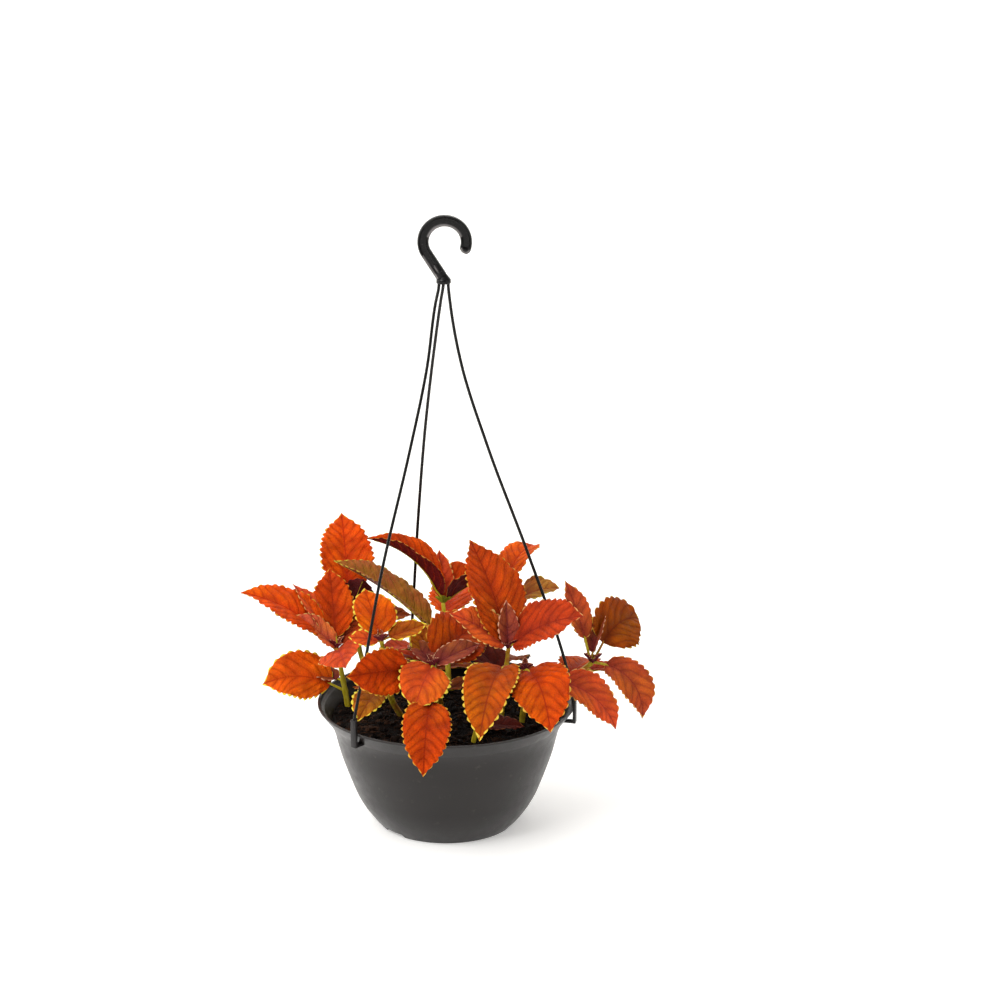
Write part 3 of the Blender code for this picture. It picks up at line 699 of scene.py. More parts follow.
def stem(corners, leaves):
    """A square stem with a groove down each side, r = R (1 - 0.1 cos 4 angle), thicker where leaves
    join it: R grows by 0.16 exp(-(distance / 3)^2)."""
    path, length = stem_path(corners)
    share = np.linspace(0.0, 1.0, STEM_STEPS)
    joins = np.array([leaf.share for leaf in leaves])
    swelling = np.exp(-(((share[:, None] - joins) * length) / NODE_LENGTH) ** 2).max(axis=1)
    radii = np.linspace(*STEM_RADII, STEM_STEPS) * (1 + NODE_SWELLING * swelling)
    radii[-1] *= 0.6
    ahead = headings(path)
    side = np.cross([0.0, 1.0, 0.0], ahead)
    side /= np.linalg.norm(side, axis=1)[:, None]
    up = np.cross(ahead, side)
    angle, ring = circle(STEM_SIDES)
    square = 1.0 - 0.1 * np.cos(4 * angle)
    section = radii[:, None, None] * (square[:, None] * ring)
    return swept(path, side, up, section)


def point_on(corners, share):
    corners = np.array(corners, dtype=float)
    reached = distance_along(corners)
    return np.array([np.interp(share * reached[-1], reached, corners[:, axis]) for axis in range(3)])


def young_leaf(name, number, order):
    """One of the small leaves at a shoot's tip. They stand a quarter turn apart, in two sizes."""
    inner = order % 2
    return BUD_LEAF._replace(
        hue=BUD_HUES.get(name, BUD_LEAF.hue), azimuth=BUD_LEAF.azimuth + 90.0 * order + 23.0 * number,
        rise=BUD_LEAF.rise - 9.0 * inner, length=BUD_LEAF.length - 3.5 * inner)


def make_shoot(name, corners, rows, number, sizes, looks):
    """One grown piece: its stem, petioles, blades and the small leaves at its tip."""
    leaves = [Leaf(*row) for row in rows]
    rods = [stem(corners, leaves)]
    blades = []
    for order, leaf in enumerate(leaves):
        foot = point_on(corners, leaf.share)
        start = foot + unit(leaf.azimuth, leaf.rise) * leaf.petiole
        rods.append(petiole(leaf, foot, start))
        blades.append(blade(leaf, start, 100 * number + order, sizes))
    tip = point_on(corners, 1.0)
    for order in range(BUD_LEAVES):
        young = young_leaf(name, number, order)
        start = tip + unit(young.azimuth, 10.0) * 1.2
        blades.append(blade(young, start, 100 * number + 50 + order, sizes))

    shapes = []
    for made in blades:
        bead = BEAD_DEPTHS[made["hue"] in GOLD_EDGED]
        hue = [[*srgb(code), bead] for code in HUES[made["hue"]]]
        fans = np.zeros((0, 3), dtype=int)
        shapes.append((made["points"], made["quads"], fans, made["place"], made["lines"], hue))
    for vertices, sides, ends in rods:
        plain = np.zeros((len(vertices), 3))
        shapes.append((vertices, sides, ends, plain, plain, np.ones((4, 4))))
    points, quads, fans, place, lines, hues = zip(*shapes)
    counts = [len(part) for part in points]
    firsts = np.cumsum([0, *counts[:-1]])
    blade_quads = sum(len(part) for part in quads[:len(blades)])

    piece = make_piece(
        f"coleus_{name}", np.concatenate(points),
        np.concatenate([part + first for part, first in zip(quads, firsts)]),
        np.concatenate([part + first for part, first in zip(fans, firsts)]))
    store(piece, "blade_place", "FLOAT_VECTOR", np.concatenate(place))
    store(piece, "blade_lines", "FLOAT_VECTOR", np.concatenate(lines))
    hues = np.repeat(np.array(hues), counts, axis=0)
    for at, part in enumerate(COLOUR_PARTS):
        store(piece, part, "FLOAT_COLOR", hues[:, at])
    wear(piece, looks, [f"leafy_stem_{name}"])
    which = np.ones(len(piece.data.polygons), dtype=np.int32)
    which[:blade_quads] = 0
    piece.data.polygons.foreach_set("material_index", which)
    piece.data.update()


# Soil

def soil_height(points, sizes):
    """The soil's crown with two sizes of smooth noise over it."""
    radius = np.linalg.norm(points, axis=-1)
    crown = np.interp(radius, [at[0] for at in SOIL_TOP], [at[1] for at in SOIL_TOP])
    humps = (value_noise(points, 11.0, 3) - 0.5) + 0.55 * (value_noise(points, 4.0, 4) - 0.5)
    grit = 0.35 * (value_noise(points, 1.6, 5) - 0.5)
    return crown + 0.6 + sizes.roughness / MM * (humps + grit)


def make_soil_bed(sizes, look):
    """A disc over rings and angles whose height is the soil's, closed by the same disc lower down."""
    radius = SOIL_EDGE[0] * np.linspace(0.004, 1.0, SOIL_RINGS)[:, None]
    angle = np.linspace(0.0, 2 * np.pi, SOIL_SIDES, endpoint=False)[None, :]
    flat = np.stack([radius * np.cos(angle), radius * np.sin(angle)], axis=-1)
    height = soil_height(flat, sizes)
    top = np.concatenate([flat, height[..., None]], axis=-1)
    underside = SOIL_EDGE[1] - SOIL_BED_DEPTH
    low = top[::-1] * [1.0, 1.0, 0.0] + UP * underside
    skin = np.concatenate([top, low]).reshape(-1, 3)
    ends = np.array([[0.0, 0.0, height[0].mean()], [0.0, 0.0, underside]])
    quads = ring_faces(2 * SOIL_RINGS, SOIL_SIDES)[:, ::-1]
    fans = end_fans(2 * SOIL_RINGS, SOIL_SIDES)[:, [0, 2, 1]]
    piece = make_piece("soil_bed", np.vstack([skin, ends]), quads, fans)
    wear(piece, [look], [])


def scattered(count, seed, margin):
    """Random points spread evenly over the soil's disc: radius R sqrt(k), angle 2 pi k."""
    rng = np.random.default_rng(seed)
    radius = (SOIL_EDGE[0] - margin) * np.sqrt(rng.random(count))
    angle = 2 * np.pi * rng.random(count)
    return np.stack([radius * np.cos(angle), radius * np.sin(angle)], axis=-1), rng


def make_lumps(name, points, quads, fans, tone, look):
    """One piece of many copies of the same faces, each with its own points and its own tone."""
    count, each = points.shape[:2]
    first = np.arange(count)[:, None, None] * each
    piece = make_piece(
        name, points.reshape(-1, 3), (quads + first).reshape(-1, 4), (fans + first).reshape(-1, 3))
    store(piece, "soil_tone", "FLOAT_VECTOR", np.broadcast_to(tone, (count, each, 3)))
    wear(piece, [look], [])
    return piece


def make_crumbs(sizes, look):
    """Lumps of peat and bark: a ball of rings and sides whose points are pushed in and out at random,
    squashed and turned about the upright axis."""
    rings, sides = CRUMB_GRID
    spots, rng = scattered(CRUMBS, 11, 3.0)
    climb = np.linspace(-0.5, 0.5, rings + 2)[1:-1, None] * np.pi
    angle = np.linspace(0.0, 2 * np.pi, sides, endpoint=False)[None, :]
    ball = np.stack(np.broadcast_arrays(
        np.cos(climb) * np.cos(angle), np.cos(climb) * np.sin(angle), np.sin(climb)), axis=-1).reshape(-1, 3)
    ball = np.vstack([ball, [[0.0, 0.0, -1.0], [0.0, 0.0, 1.0]]])
    size = CRUMB_SIZES[0] + (CRUMB_SIZES[1] - CRUMB_SIZES[0]) * rng.random((CRUMBS, 1, 1)) ** 3
    rough = ball * rng.uniform(0.65, 1.25, (CRUMBS, len(ball), 1)) * size
    rough *= np.stack([rng.uniform(0.7, 1.6, CRUMBS), rng.uniform(0.5, 1.0, CRUMBS),
                       rng.uniform(0.4, 0.8, CRUMBS)], axis=-1)[:, None]
    turn = rng.uniform(0.0, 2 * np.pi, (CRUMBS, 1))
    x = rough[..., 0] * np.cos(turn) - rough[..., 1] * np.sin(turn)
    y = rough[..., 0] * np.sin(turn) + rough[..., 1] * np.cos(turn)
    base = soil_height(spots, sizes)[:, None]
    points = np.stack([spots[:, :1] + x, spots[:, 1:] + y, base + 0.25 * size[:, 0] + rough[..., 2]], axis=-1)
    tone = rng.random((CRUMBS, 1, 1)) ** 4
    piece = make_lumps("soil_crumbs", points, ring_faces(rings, sides), end_fans(rings, sides), tone, look)
    smoothed(piece.data, 50)


def make_fibres(sizes, look):
    """Thin bent fibres lying on the soil: a three-sided rod whose path is a straight line bowed
    sideways by k (1 - t^2) and lifted a little in the middle."""
    spots, rng = scattered(FIBRES, 23, 14.0)
    share = np.linspace(-1.0, 1.0, FIBRE_POINTS)[None, :]
    length = rng.uniform(*FIBRE_LENGTHS, (FIBRES, 1)) / 2
    heading = rng.uniform(0.0, 2 * np.pi, (FIBRES, 1))
    bow = rng.uniform(-0.4, 0.4, (FIBRES, 1)) * length * (1 - share ** 2)
    flat = np.stack([
        spots[:, :1] + length * share * np.cos(heading) - bow * np.sin(heading),
        spots[:, 1:] + length * share * np.sin(heading) + bow * np.cos(heading)], axis=-1)
    far = np.linalg.norm(flat, axis=-1, keepdims=True)
    flat *= np.minimum(1.0, (SOIL_EDGE[0] - 1.5) / far)
    lift = rng.uniform(0.2, 2.2, (FIBRES, 1)) * (1 - share ** 2) + 0.3
    path = np.concatenate([flat, (soil_height(flat, sizes) + lift)[..., None]], axis=-1)
    thick = rng.uniform(0.18, 0.5, (FIBRES, 1, 1, 1)) * (1.15 - share ** 2)[:, :, None, None]
    corner = np.linspace(0.0, 2 * np.pi, 3, endpoint=False)
    side = np.concatenate([-np.sin(heading), np.cos(heading), 0 * heading], axis=-1)[:, None, None]
    ring = np.cos(corner)[:, None] * side + np.sin(corner)[:, None] * UP
    skin = (path[:, :, None] + thick * ring).reshape(FIBRES, -1, 3)
    count = FIBRE_POINTS * 3
    caps = np.array([[2, 1, 0], [count - 3, count - 2, count - 1]])
    tone = rng.uniform(0.15, 0.9, (FIBRES, 1, 1))
    make_lumps("soil_fibres", skin, ring_faces(FIBRE_POINTS, 3), caps, tone, look)


# Pot and hanger

def make_pot(look):
    """The turned bowl with rounded corners, its raised floor patches, notches, slots and drain holes."""
    inside = rounded([(0.0, 2.0, 0.0), *POT_INSIDE])
    outside = rounded([*POT_OUTSIDE, (0.0, 0.0, 0.0)])
    outline = np.concatenate([outside[::-1], inside[::-1]])
    pot = turned("pot_body", outline)
    patches = [make_block("patch", PATCH_BLOCK, azimuth) for azimuth in NOTCH_AZIMUTHS]
    within = outside[::-1][1:-1] * [0.985, 1.0] + [0.0, 0.6]
    for patch in patches:
        trimmed = turned("within", np.vstack([[0.0, 0.6], within, [0.0, 121.0]]))
        step = patch.modifiers.new("trim", "BOOLEAN")
        step.operation = "INTERSECT"
        step.object = trimmed
        step.solver = "EXACT"
        make_final(patch)
        bpy.data.objects.remove(trimmed, do_unlink=True)
    joined_or_cut(pot, "UNION", patches)
    cutters = [make_block("notch", NOTCH_BLOCK, azimuth) for azimuth in NOTCH_AZIMUTHS]
    cutters += [make_block("slot", SLOT_BLOCK, azimuth) for azimuth, _, _ in STRANDS.values()]
    ring, first, radius = DRAIN_PLACE
    for step in range(DRAIN_HOLES):
        centre = ring * unit(first + 360.0 * step / DRAIN_HOLES, 0.0)
        path = centre + np.array([-2.0, 4.0])[:, None] * UP
        edge = radius * circle(24)[1]
        east = np.tile([1.0, 0.0, 0.0], (2, 1))
        north = np.tile([0.0, 1.0, 0.0], (2, 1))
        cutters.append(make_piece("drain", *swept(path, east, north, np.stack([edge, edge]))))
    joined_or_cut(pot, "DIFFERENCE", cutters)
    bevelled(pot)
    smoothed(pot.data, 40)
    wear(pot, [look], ["pot"])


def hook_path():
    """The ring's arc from its tip to the neck, then the shank, and the outward direction on each."""
    arc = np.radians(np.linspace(HOOK_TIP_ANGLE, HOOK_NECK_ANGLE, 90))
    out = np.stack([np.cos(arc), np.zeros_like(arc), np.sin(arc)], axis=1)
    centre = np.array([HOOK_CENTRE[0], 0.0, HOOK_CENTRE[1]])
    ring = centre + HOOK_RADIUS * out
    foot = np.array([HOOK_FOOT[0], 0.0, HOOK_FOOT[1]])
    share = np.linspace(0.0, 1.0, 26)[1:, None]
    shank = ring[-1] + (foot - ring[-1]) * share
    path = np.vstack([ring, shank])
    ahead = headings(path)
    depth = np.tile([0.0, 1.0, 0.0], (len(path), 1))
    return path, np.cross(depth, ahead), depth


def painted_edge_highlights(hook):
    """How far each point is painted pale as a highlight, from 0 to 1: exp(-(distance / width)^2) from the
    ring's inner edge over its upper half, the shank's outer edge, the short rib and the wall at the tip, on
    the front and back faces. These are painted highlights where light would catch the flange edges."""
    points = np.zeros(3 * len(hook.data.vertices))
    hook.data.vertices.foreach_get("co", points)
    x, y, z = (points.reshape(-1, 3) / MM).T
    from_centre = np.hypot(x - HOOK_CENTRE[0], z - HOOK_CENTRE[1])
    angle = np.degrees(np.arctan2(z - HOOK_CENTRE[1], x - HOOK_CENTRE[0]))
    inner = np.exp(-((from_centre - HOOK_RADIUS + HIGHLIGHT_INSET) / 0.9) ** 2) * (np.abs(angle - 90.0) < 72.0)
    end = HOOK_TIP_ANGLE + math.degrees(HOOK_HALF_WIDTH / HOOK_RADIUS)
    end_x = HOOK_CENTRE[0] + HOOK_RADIUS * math.cos(math.radians(end))
    end_z = HOOK_CENTRE[1] + HOOK_RADIUS * math.sin(math.radians(end))
    at_tip = (angle < end - 1.0) & (angle > -60.0)
    tip = np.exp(-((np.hypot(x - end_x, z - end_z) - 3.6) / 0.6) ** 2) * at_tip
    lean = math.radians(HOOK_NECK_ANGLE)
    beside = (x - HOOK_FOOT[0]) * math.cos(lean) + (z - HOOK_FOOT[1]) * math.sin(lean)
    along = (z - HOOK_FOOT[1]) * math.cos(lean) - (x - HOOK_FOOT[0]) * math.sin(lean)
    on_shank = (along < 0.0) & (along > -26.0)
    outer = np.exp(-((beside - HIGHLIGHT_INSET) / 0.7) ** 2) * on_shank
    rib = np.exp(-(beside / 0.7) ** 2) * np.exp(-((along + 9.0) / 3.0) ** 6)
    return np.clip(inner + tip + outer + rib, 0.0, 1.0) * (np.abs(y) > 1.5)


def make_hook(look):
    """A moulded bar carried round the hook. Its section is the squared oval |x/a|^2.7 + |y/b|^2.7 = 1, its
    tip is rounded off by sqrt(1 - t^2), and its front and back are recessed between two flanges by
    g exp(-(x/w)^6), with a short rib left standing near the foot."""
    path, side, up = hook_path()
    gone = distance_along(path)
    cap = np.sqrt(np.clip(1 - (1 - gone / HOOK_HALF_WIDTH) ** 2, 0.0004, 1.0))
    cap[gone > HOOK_HALF_WIDTH] = 1.0
    angle, _ = circle(HOOK_SIDES)
    power = 2 / 2.7
    x = HOOK_HALF_WIDTH * np.sign(np.cos(angle)) * np.abs(np.cos(angle)) ** power
    y = HOOK_HALF_DEPTH * np.sign(np.sin(angle)) * np.abs(np.sin(angle)) ** power
    held = np.clip((gone - 5.0) / 1.6, 0.0, 1.0) * np.clip((gone[-1] - gone - 4.5) / 1.6, 0.0, 1.0)
    groove = np.exp(-(x / (HOOK_HALF_WIDTH - HOOK_FLANGE)) ** 6) * np.clip(np.abs(y) - 2.0, 0.0, 1.0)
    rib = np.exp(-((gone[-1] - gone - 9.0) / 3.2) ** 6)[:, None] * np.exp(-(x / 0.9) ** 6)
    y = y - np.sign(y) * HOOK_RECESS * groove * held[:, None] * (1 - 0.8 * rib)
    section = np.stack([np.broadcast_to(x, y.shape), y], axis=-1) * cap[:, None, None]
    hook = make_piece("hook_body", *swept(path, side, up, section))
    crown = turned("crown", rounded(CROWN_OUTLINE)[::-1])
    crown.location.x = CROWN_OFFSET * MM
    joined_or_cut(hook, "UNION", [crown])
    smoothed(hook.data, 35)
    # Painted highlights: pale paint stored along the flange edges, the rib and the tip wall, standing in for
    # light catching them
    store(hook, "painted_highlight", "FLOAT_VECTOR", np.repeat(painted_edge_highlights(hook)[:, None], 3, axis=1))
    wear(hook, [look], ["hanger_hook"])


def eased(height, heights, radii):
    """A cubic through the strand's own points, whose slope at each is that of its neighbours."""
    slopes = np.gradient(radii, heights)
    low = np.clip(np.searchsorted(heights, height, side="right") - 1, 0, len(heights) - 2)
    span = heights[low + 1] - heights[low]
    t = (height - heights[low]) / span
    return (radii[low] * (1 + 2 * t) * (1 - t) ** 2 + slopes[low] * span * t * (1 - t) ** 2
            + radii[low + 1] * t ** 2 * (3 - 2 * t) - slopes[low + 1] * span * t ** 2 * (1 - t))


def make_strand(name, azimuth, top, radii, looks):
    """A round rod in the upright plane of its azimuth, brought to its place in the crown by a shift that
    fades with the eighth power of the height, with a fine parting seam along both sides, and the
    bevelled tab and toe of its clip."""
    heights = np.concatenate([STRAND_HEIGHTS[:2], np.linspace(STRAND_BEND, STRAND_HEIGHTS[-1], STRAND_STEPS)])
    reach = eased(heights, np.array(STRAND_HEIGHTS[::-1]), np.array(radii[::-1]))
    out = unit(azimuth, 0.0)
    above = (heights - STRAND_HEIGHTS[-1]) / (STRAND_HEIGHTS[1] - STRAND_HEIGHTS[-1])
    held = np.clip(above, 0.0, 1.0)[:, None] ** STRAND_FADE
    path = reach[:, None] * out + heights[:, None] * UP + held * (np.array([*top, 0.0]) - radii[0] * out)
    ahead = headings(path)
    side = np.tile(unit(azimuth + 90.0, 0.0), (len(path), 1))
    up = np.cross(ahead, side)
    angle, ring = circle(STRAND_SIDES)
    seam = 1.0 + 0.07 * np.exp(-(np.sin(angle) / 0.25) ** 2)
    section = STRAND_RADIUS * np.tile(seam[:, None] * ring, (len(path), 1, 1))
    strand = make_piece(f"strand_{name}", *swept(path, side, up, section))
    parts = [make_block("tab", TAB_BLOCK, azimuth), make_block("toe", TOE_BLOCK, azimuth)]
    for part in parts:
        bevelled(part)
    joined_or_cut(strand, "UNION", parts)
    smoothed(strand.data, 35)
    wear(strand, looks, [f"hanger_strand_{name}"])
    middles = np.zeros(3 * len(strand.data.polygons))
    strand.data.polygons.foreach_get("center", middles)
    on_clip = middles[2::3] < (TAB_BLOCK[-1] + 0.1) * MM
    strand.data.polygons.foreach_set("material_index", on_clip.astype(np.int32))
    strand.data.update()


# Materials

def add_node(tree, kind, settings=None, inputs=None):
    """Add a node, set its properties, and set or link each named input."""
    node = tree.nodes.new(kind)
    for key, value in (settings or {}).items():
        setattr(node, key, value)
    for key, value in (inputs or {}).items():
        if isinstance(value, bpy.types.NodeSocket):
            tree.links.new(value, node.inputs[key])
        else:
            node.inputs[key].default_value = value
    return node


def new_material(name):
    """An empty material, its nodes, and each point's place on the piece in metres."""
    made = bpy.data.materials.new(name)
    made.use_nodes = True
    tree = made.node_tree
    tree.nodes.clear()
    return made, tree, add_node(tree, "ShaderNodeTexCoord").outputs["Object"]


def attribute(tree, name, output="Vector"):
    return add_node(tree, "ShaderNodeAttribute", {"attribute_name": name}).outputs[output]


def split(tree, name):
    """The three numbers that a piece stores under a name."""
    return add_node(tree, "ShaderNodeSeparateXYZ", {}, {"Vector": attribute(tree, name)}).outputs


def noise(tree, where, scale, detail):
    return add_node(tree, "ShaderNodeTexNoise", {}, {
        "Vector": where, "Scale": scale, "Detail": detail}).outputs["Fac"]


def calc(tree, operation, *values):
    return add_node(tree, "ShaderNodeMath", {"operation": operation}, dict(enumerate(values))).outputs[0]


def remap(tree, value, start, end, low, high, ease="SMOOTHSTEP"):
    """Carry a value from the range start to end over to the range low to high."""
    return add_node(tree, "ShaderNodeMapRange", {"interpolation_type": ease}, {
        "Value": value, "From Min": start, "From Max": end, "To Min": low, "To Max": high}).outputs[0]


def mix(tree, share, first, second):
    return add_node(tree, "ShaderNodeMixRGB", {}, {
        "Fac": share, "Color1": first, "Color2": second}).outputs[0]


def scaled(tree, colour, factor):
    return add_node(tree, "ShaderNodeVectorMath", {"operation": "SCALE"}, {
        0: colour, "Scale": factor}).outputs[0]


def finish_material(tree, height, distance, strength, inputs):
    """Close the nodes with a relief of a height, and a shader of the other inputs."""
    bump = add_node(tree, "ShaderNodeBump", {}, {
        "Height": height, "Distance": distance, "Strength": strength})
    shader = add_node(tree, "ShaderNodeBsdfPrincipled", {}, {**inputs, "Normal": bump.outputs["Normal"]})
    add_node(tree, "ShaderNodeOutputMaterial", {}, {"Surface": shader.outputs["BSDF"]})


def blade_material():
    """Living coleus leaf: a soft, finely haired skin over quilted flesh. It is nearly matt, a little
    light comes through, the blade is darker and redder to its middle, the quilting has painted light on its
    crests and painted shade beside the side veins, and the scallops are yellow."""
    made, tree, where = new_material("coleus leaf, finely haired")
    share, from_rib, from_edge = split(tree, "blade_place")
    phase, under, tooth = split(tree, "blade_lines")
    plain, central, edge, below = [attribute(tree, part, "Color") for part in COLOUR_PARTS]

    # Patches about 14 mm wide, and the net of smallest veins about 2.6 mm wide
    patches = noise(tree, where, 70.0, 3.0)
    net = add_node(tree, "ShaderNodeTexVoronoi", {"feature": "DISTANCE_TO_EDGE"}, {
        "Vector": where, "Scale": 380.0})
    net_line = remap(tree, net.outputs["Distance"], 0.0, 0.16, 1.0, 0.0)

    # Side veins, where the phase is whole, fading to the edge
    gap = calc(tree, "PINGPONG", phase, 0.5)
    line = remap(tree, gap, 0.0, 0.17, 1.0, 0.0)
    fade = remap(tree, from_edge, 0.5, 8.0, 0.25, 1.0)
    main_vein = calc(tree, "MULTIPLY", line, fade)

    # Forks of the side veins, in the outer half alone
    bent = calc(tree, "MULTIPLY_ADD", from_rib, 0.035, phase)
    fork_gap = calc(tree, "PINGPONG", bent, 0.25)
    fork_line = remap(tree, fork_gap, 0.0, 0.07, 0.55, 0.0)
    outer = remap(tree, from_rib, 5.0, 11.0, 0.0, 1.0)
    fork = calc(tree, "MULTIPLY", fork_line, outer)
    vein = calc(tree, "MAXIMUM", main_vein, fork)
    rib = remap(tree, from_rib, 0.25, 1.1, 1.0, 0.0)

    # Middle of the blade, strongest at its foot, with clouds of its colour further out
    inward = remap(tree, from_rib, 0.0, 13.0, 0.85, 0.0)
    footward = remap(tree, share, 0.05, 0.85, 1.0, 0.35)
    inner = calc(tree, "MULTIPLY", inward, footward)
    clouds = noise(tree, where, 38.0, 2.0)
    cloud = remap(tree, clouds, 0.42, 0.68, 0.0, 0.5)
    middle = calc(tree, "MAXIMUM", inner, cloud)
    zones = noise(tree, where, 26.0, 1.0)
    zone = remap(tree, zones, 0.46, 0.66, 0.0, 0.7)
    warm = add_node(tree, "ShaderNodeVectorMath", {"operation": "MULTIPLY"}, {0: plain, 1: (1.06, 1.6, 0.7)})
    skin = mix(tree, zone, plain, warm.outputs[0])
    colour = mix(tree, middle, skin, central)

    # Painted light and shade on the quilting: the crests between the side veins are painted lighter and the
    # hollows beside the veins darker, over a random mottle; then the veins themselves
    mottle = remap(tree, patches, 0.3, 0.7, 0.7, 1.18, "LINEAR")
    painted_quilt_shading = remap(tree, gap, 0.0, 0.42, 0.87, 1.08)
    depth = calc(tree, "MULTIPLY", mottle, painted_quilt_shading)
    # depth is the random mottle times the painted shade of the quilting
    colour = scaled(tree, colour, depth)
    vein_part = calc(tree, "MULTIPLY", vein, VEIN_PART)
    colour = mix(tree, vein_part, colour, central)
    net_part = calc(tree, "MULTIPLY", net_line, NET_PART)
    colour = mix(tree, net_part, colour, central)
    rib_part = calc(tree, "MULTIPLY", rib, RIB_PART)
    colour = mix(tree, rib_part, colour, central)

    # Yellow beads on the scallops, broken by the patches
    ragged = calc(tree, "MULTIPLY_ADD", patches, 4.0, -1.1)
    inset = calc(tree, "ADD", from_edge, ragged)
    reach = attribute(tree, "edge_colour", "Alpha")
    bead_part = calc(tree, "MULTIPLY", tooth, reach)
    bead = calc(tree, "SUBTRACT", inset, bead_part)
    rim = remap(tree, bead, -0.8, 0.3, 0.95, 0.0)
    colour = mix(tree, rim, colour, edge)

    # Underside, with veins in the middle's colour
    below = mix(tree, vein_part, below, central)
    colour = mix(tree, under, colour, below)

    # Relief: sunk net and veins, and a fine grain for the hairs
    grain = noise(tree, where, 1400.0, 2.0)
    sunk = calc(tree, "MULTIPLY_ADD", net_line, -0.6, 0.6)
    height = calc(tree, "MULTIPLY_ADD", grain, 0.35, sunk)
    relief = calc(tree, "SUBTRACT", height, vein)
    gloss = remap(tree, patches, 0.3, 0.7, 0.44, 0.6, "LINEAR")
    finish_material(tree, relief, 0.0005, 0.9, {
        "Base Color": colour, "Roughness": gloss, "IOR": 1.42, "Specular IOR Level": 0.08,
        "Subsurface Weight": 0.1, "Subsurface Radius": (1.0, 0.3, 0.1), "Subsurface Scale": 0.003})
    return made


def stem_material(colours):
    """Living square stem: waxy skin over green flesh, olive with lighter young streaks and patches of
    red flush."""
    made, tree, where = new_material("coleus stem, waxy")
    stretched = add_node(tree, "ShaderNodeMapping", {}, {"Vector": where, "Scale": (1.0, 1.0, 0.25)})
    streaks = noise(tree, stretched.outputs[0], 320.0, 3.0)
    patches = noise(tree, where, 45.0, 2.0)
    young = remap(tree, streaks, 0.35, 0.65, 0.0, 1.0, "LINEAR")
    colour = mix(tree, young, (*colours.olive, 1.0), (*colours.lime, 1.0))
    red = remap(tree, patches, 0.5, 0.66, 0.0, 0.8)
    colour = mix(tree, red, colour, (*colours.flush, 1.0))
    finish_material(tree, streaks, 0.0003, 0.5, {
        "Base Color": colour, "Roughness": 0.5, "IOR": 1.42, "Specular IOR Level": 0.16,
        "Subsurface Weight": 0.1, "Subsurface Radius": (0.6, 0.8, 0.2), "Subsurface Scale": 0.002})
    return made


def soil_material(colours, by_crumb):
    """Moist peat with shredded bark: matt and nearly black, with brown crumbs and fibres."""
    made, tree, where = new_material("peat potting soil, loose")
    clumps = noise(tree, where, 260.0, 5.0)
    grit = add_node(tree, "ShaderNodeTexVoronoi", {}, {"Vector": where, "Scale": 700.0})
    if by_crumb:
        tone = split(tree, "soil_tone")[0]
    else:
        tone = remap(tree, clumps, 0.55, 0.8, 0.0, 0.4, "LINEAR")
    colour = mix(tree, tone, (*colours.peat, 1.0), (*colours.bark, 1.0))
    shade = remap(tree, clumps, 0.3, 0.7, 0.6, 1.25, "LINEAR")
    colour = scaled(tree, colour, shade)
    height = calc(tree, "ADD", clumps, grit.outputs["Distance"])
    damp = remap(tree, clumps, 0.35, 0.65, 0.62, 0.95, "LINEAR")
    finish_material(tree, height, 0.0012, 0.9, {
        "Base Color": colour, "Roughness": damp, "IOR": 1.4, "Specular IOR Level": 0.15})
    return made


def plastic_material(plastic, colour):
    """Injection-moulded polypropylene: even and satin, with a spark-eroded grain of about 0.4 mm
    drawn at 0.8 mm so that it shows, faint flow marks, a little dried soil and scuffing, and pale painted
    highlights where a piece marks its edges."""
    made, tree, where = new_material(plastic.name)
    grain = noise(tree, where, 1250.0, 2.0)
    flow = noise(tree, where, 16.0, 2.0)
    scuffs = noise(tree, where, 120.0, 6.0)
    tone = remap(tree, flow, 0.3, 0.7, 0.9, 1.1, "LINEAR")
    base = scaled(tree, tuple(colour), tone)
    worn = remap(tree, scuffs, 0.62, 0.8, 0.0, plastic.dust)
    base = mix(tree, worn, base, (*srgb(DRIED_SOIL), 1.0))
    # Painted highlights: a pale colour mixed in where the piece marks its edges, standing in for light
    # catching them
    painted_highlight = attribute(tree, "painted_highlight", "Fac")
    base = mix(tree, painted_highlight, base, (*srgb(PAINTED_HIGHLIGHT_COLOUR), 1.0))
    satin = remap(tree, scuffs, 0.3, 0.7, plastic.gloss - 0.05, plastic.gloss + 0.07, "LINEAR")
    finish_material(tree, grain, 0.00012, 0.5, {
        "Base Color": base, "Roughness": satin, "IOR": 1.49, "Specular IOR Level": plastic.shine})
    return made


def opal_material(name, colour, glow):
    """Opal acrylic with lamps behind it: matt and even, and glowing a little, which keeps shadows pale."""
    made, tree, where = new_material(name)
    roller = noise(tree, where, 300.0, 2.0)
    finish_material(tree, roller, 0.0002, 0.1, {
        "Base Color": (*colour, 1.0), "Roughness": 0.85,
        "Emission Color": (*colour, 1.0), "Emission Strength": glow})
    return made


# Stage

def facing(place, aim):
    """The rotation that turns a light or the camera at a place to look at another."""
    return (Vector(aim) - Vector(place)).to_track_quat("-Z", "Y").to_euler()


def soft_light(name, power):
    place, height, size = LIGHTS[name]
    lamp = bpy.data.lights.new(name, "AREA")
    lamp.shape = "DISK"
    lamp.size = size
    lamp.energy = power
    made = bpy.data.objects.new(name, lamp)
    made.location = place
    made.rotation_euler = facing(place, (0.0, 0.0, height))
    bpy.context.scene.collection.objects.link(made)


def make_floor(look):
    """A floor that sweeps up behind the object: flat for 1.6 m, then a quarter turn of 1 m, then a wall."""
    turn = np.radians(np.linspace(0.0, 90.0, 24))
    wall = FLOOR_BACK + FLOOR_SWEEP
    back = np.concatenate([[FLOOR_FRONT], FLOOR_BACK + FLOOR_SWEEP * np.sin(turn), [wall]])
    height = np.concatenate([[0.0], FLOOR_SWEEP - FLOOR_SWEEP * np.cos(turn), [FLOOR_TOP]])
    across = np.array([-FLOOR_HALF_WIDTH, FLOOR_HALF_WIDTH])
    points = np.stack(np.broadcast_arrays(across[:, None], back[None], height[None]), axis=-1).reshape(-1, 3)
    piece = make_piece("floor", points, grid_faces(2, len(back)))
    piece.data.materials.append(look)


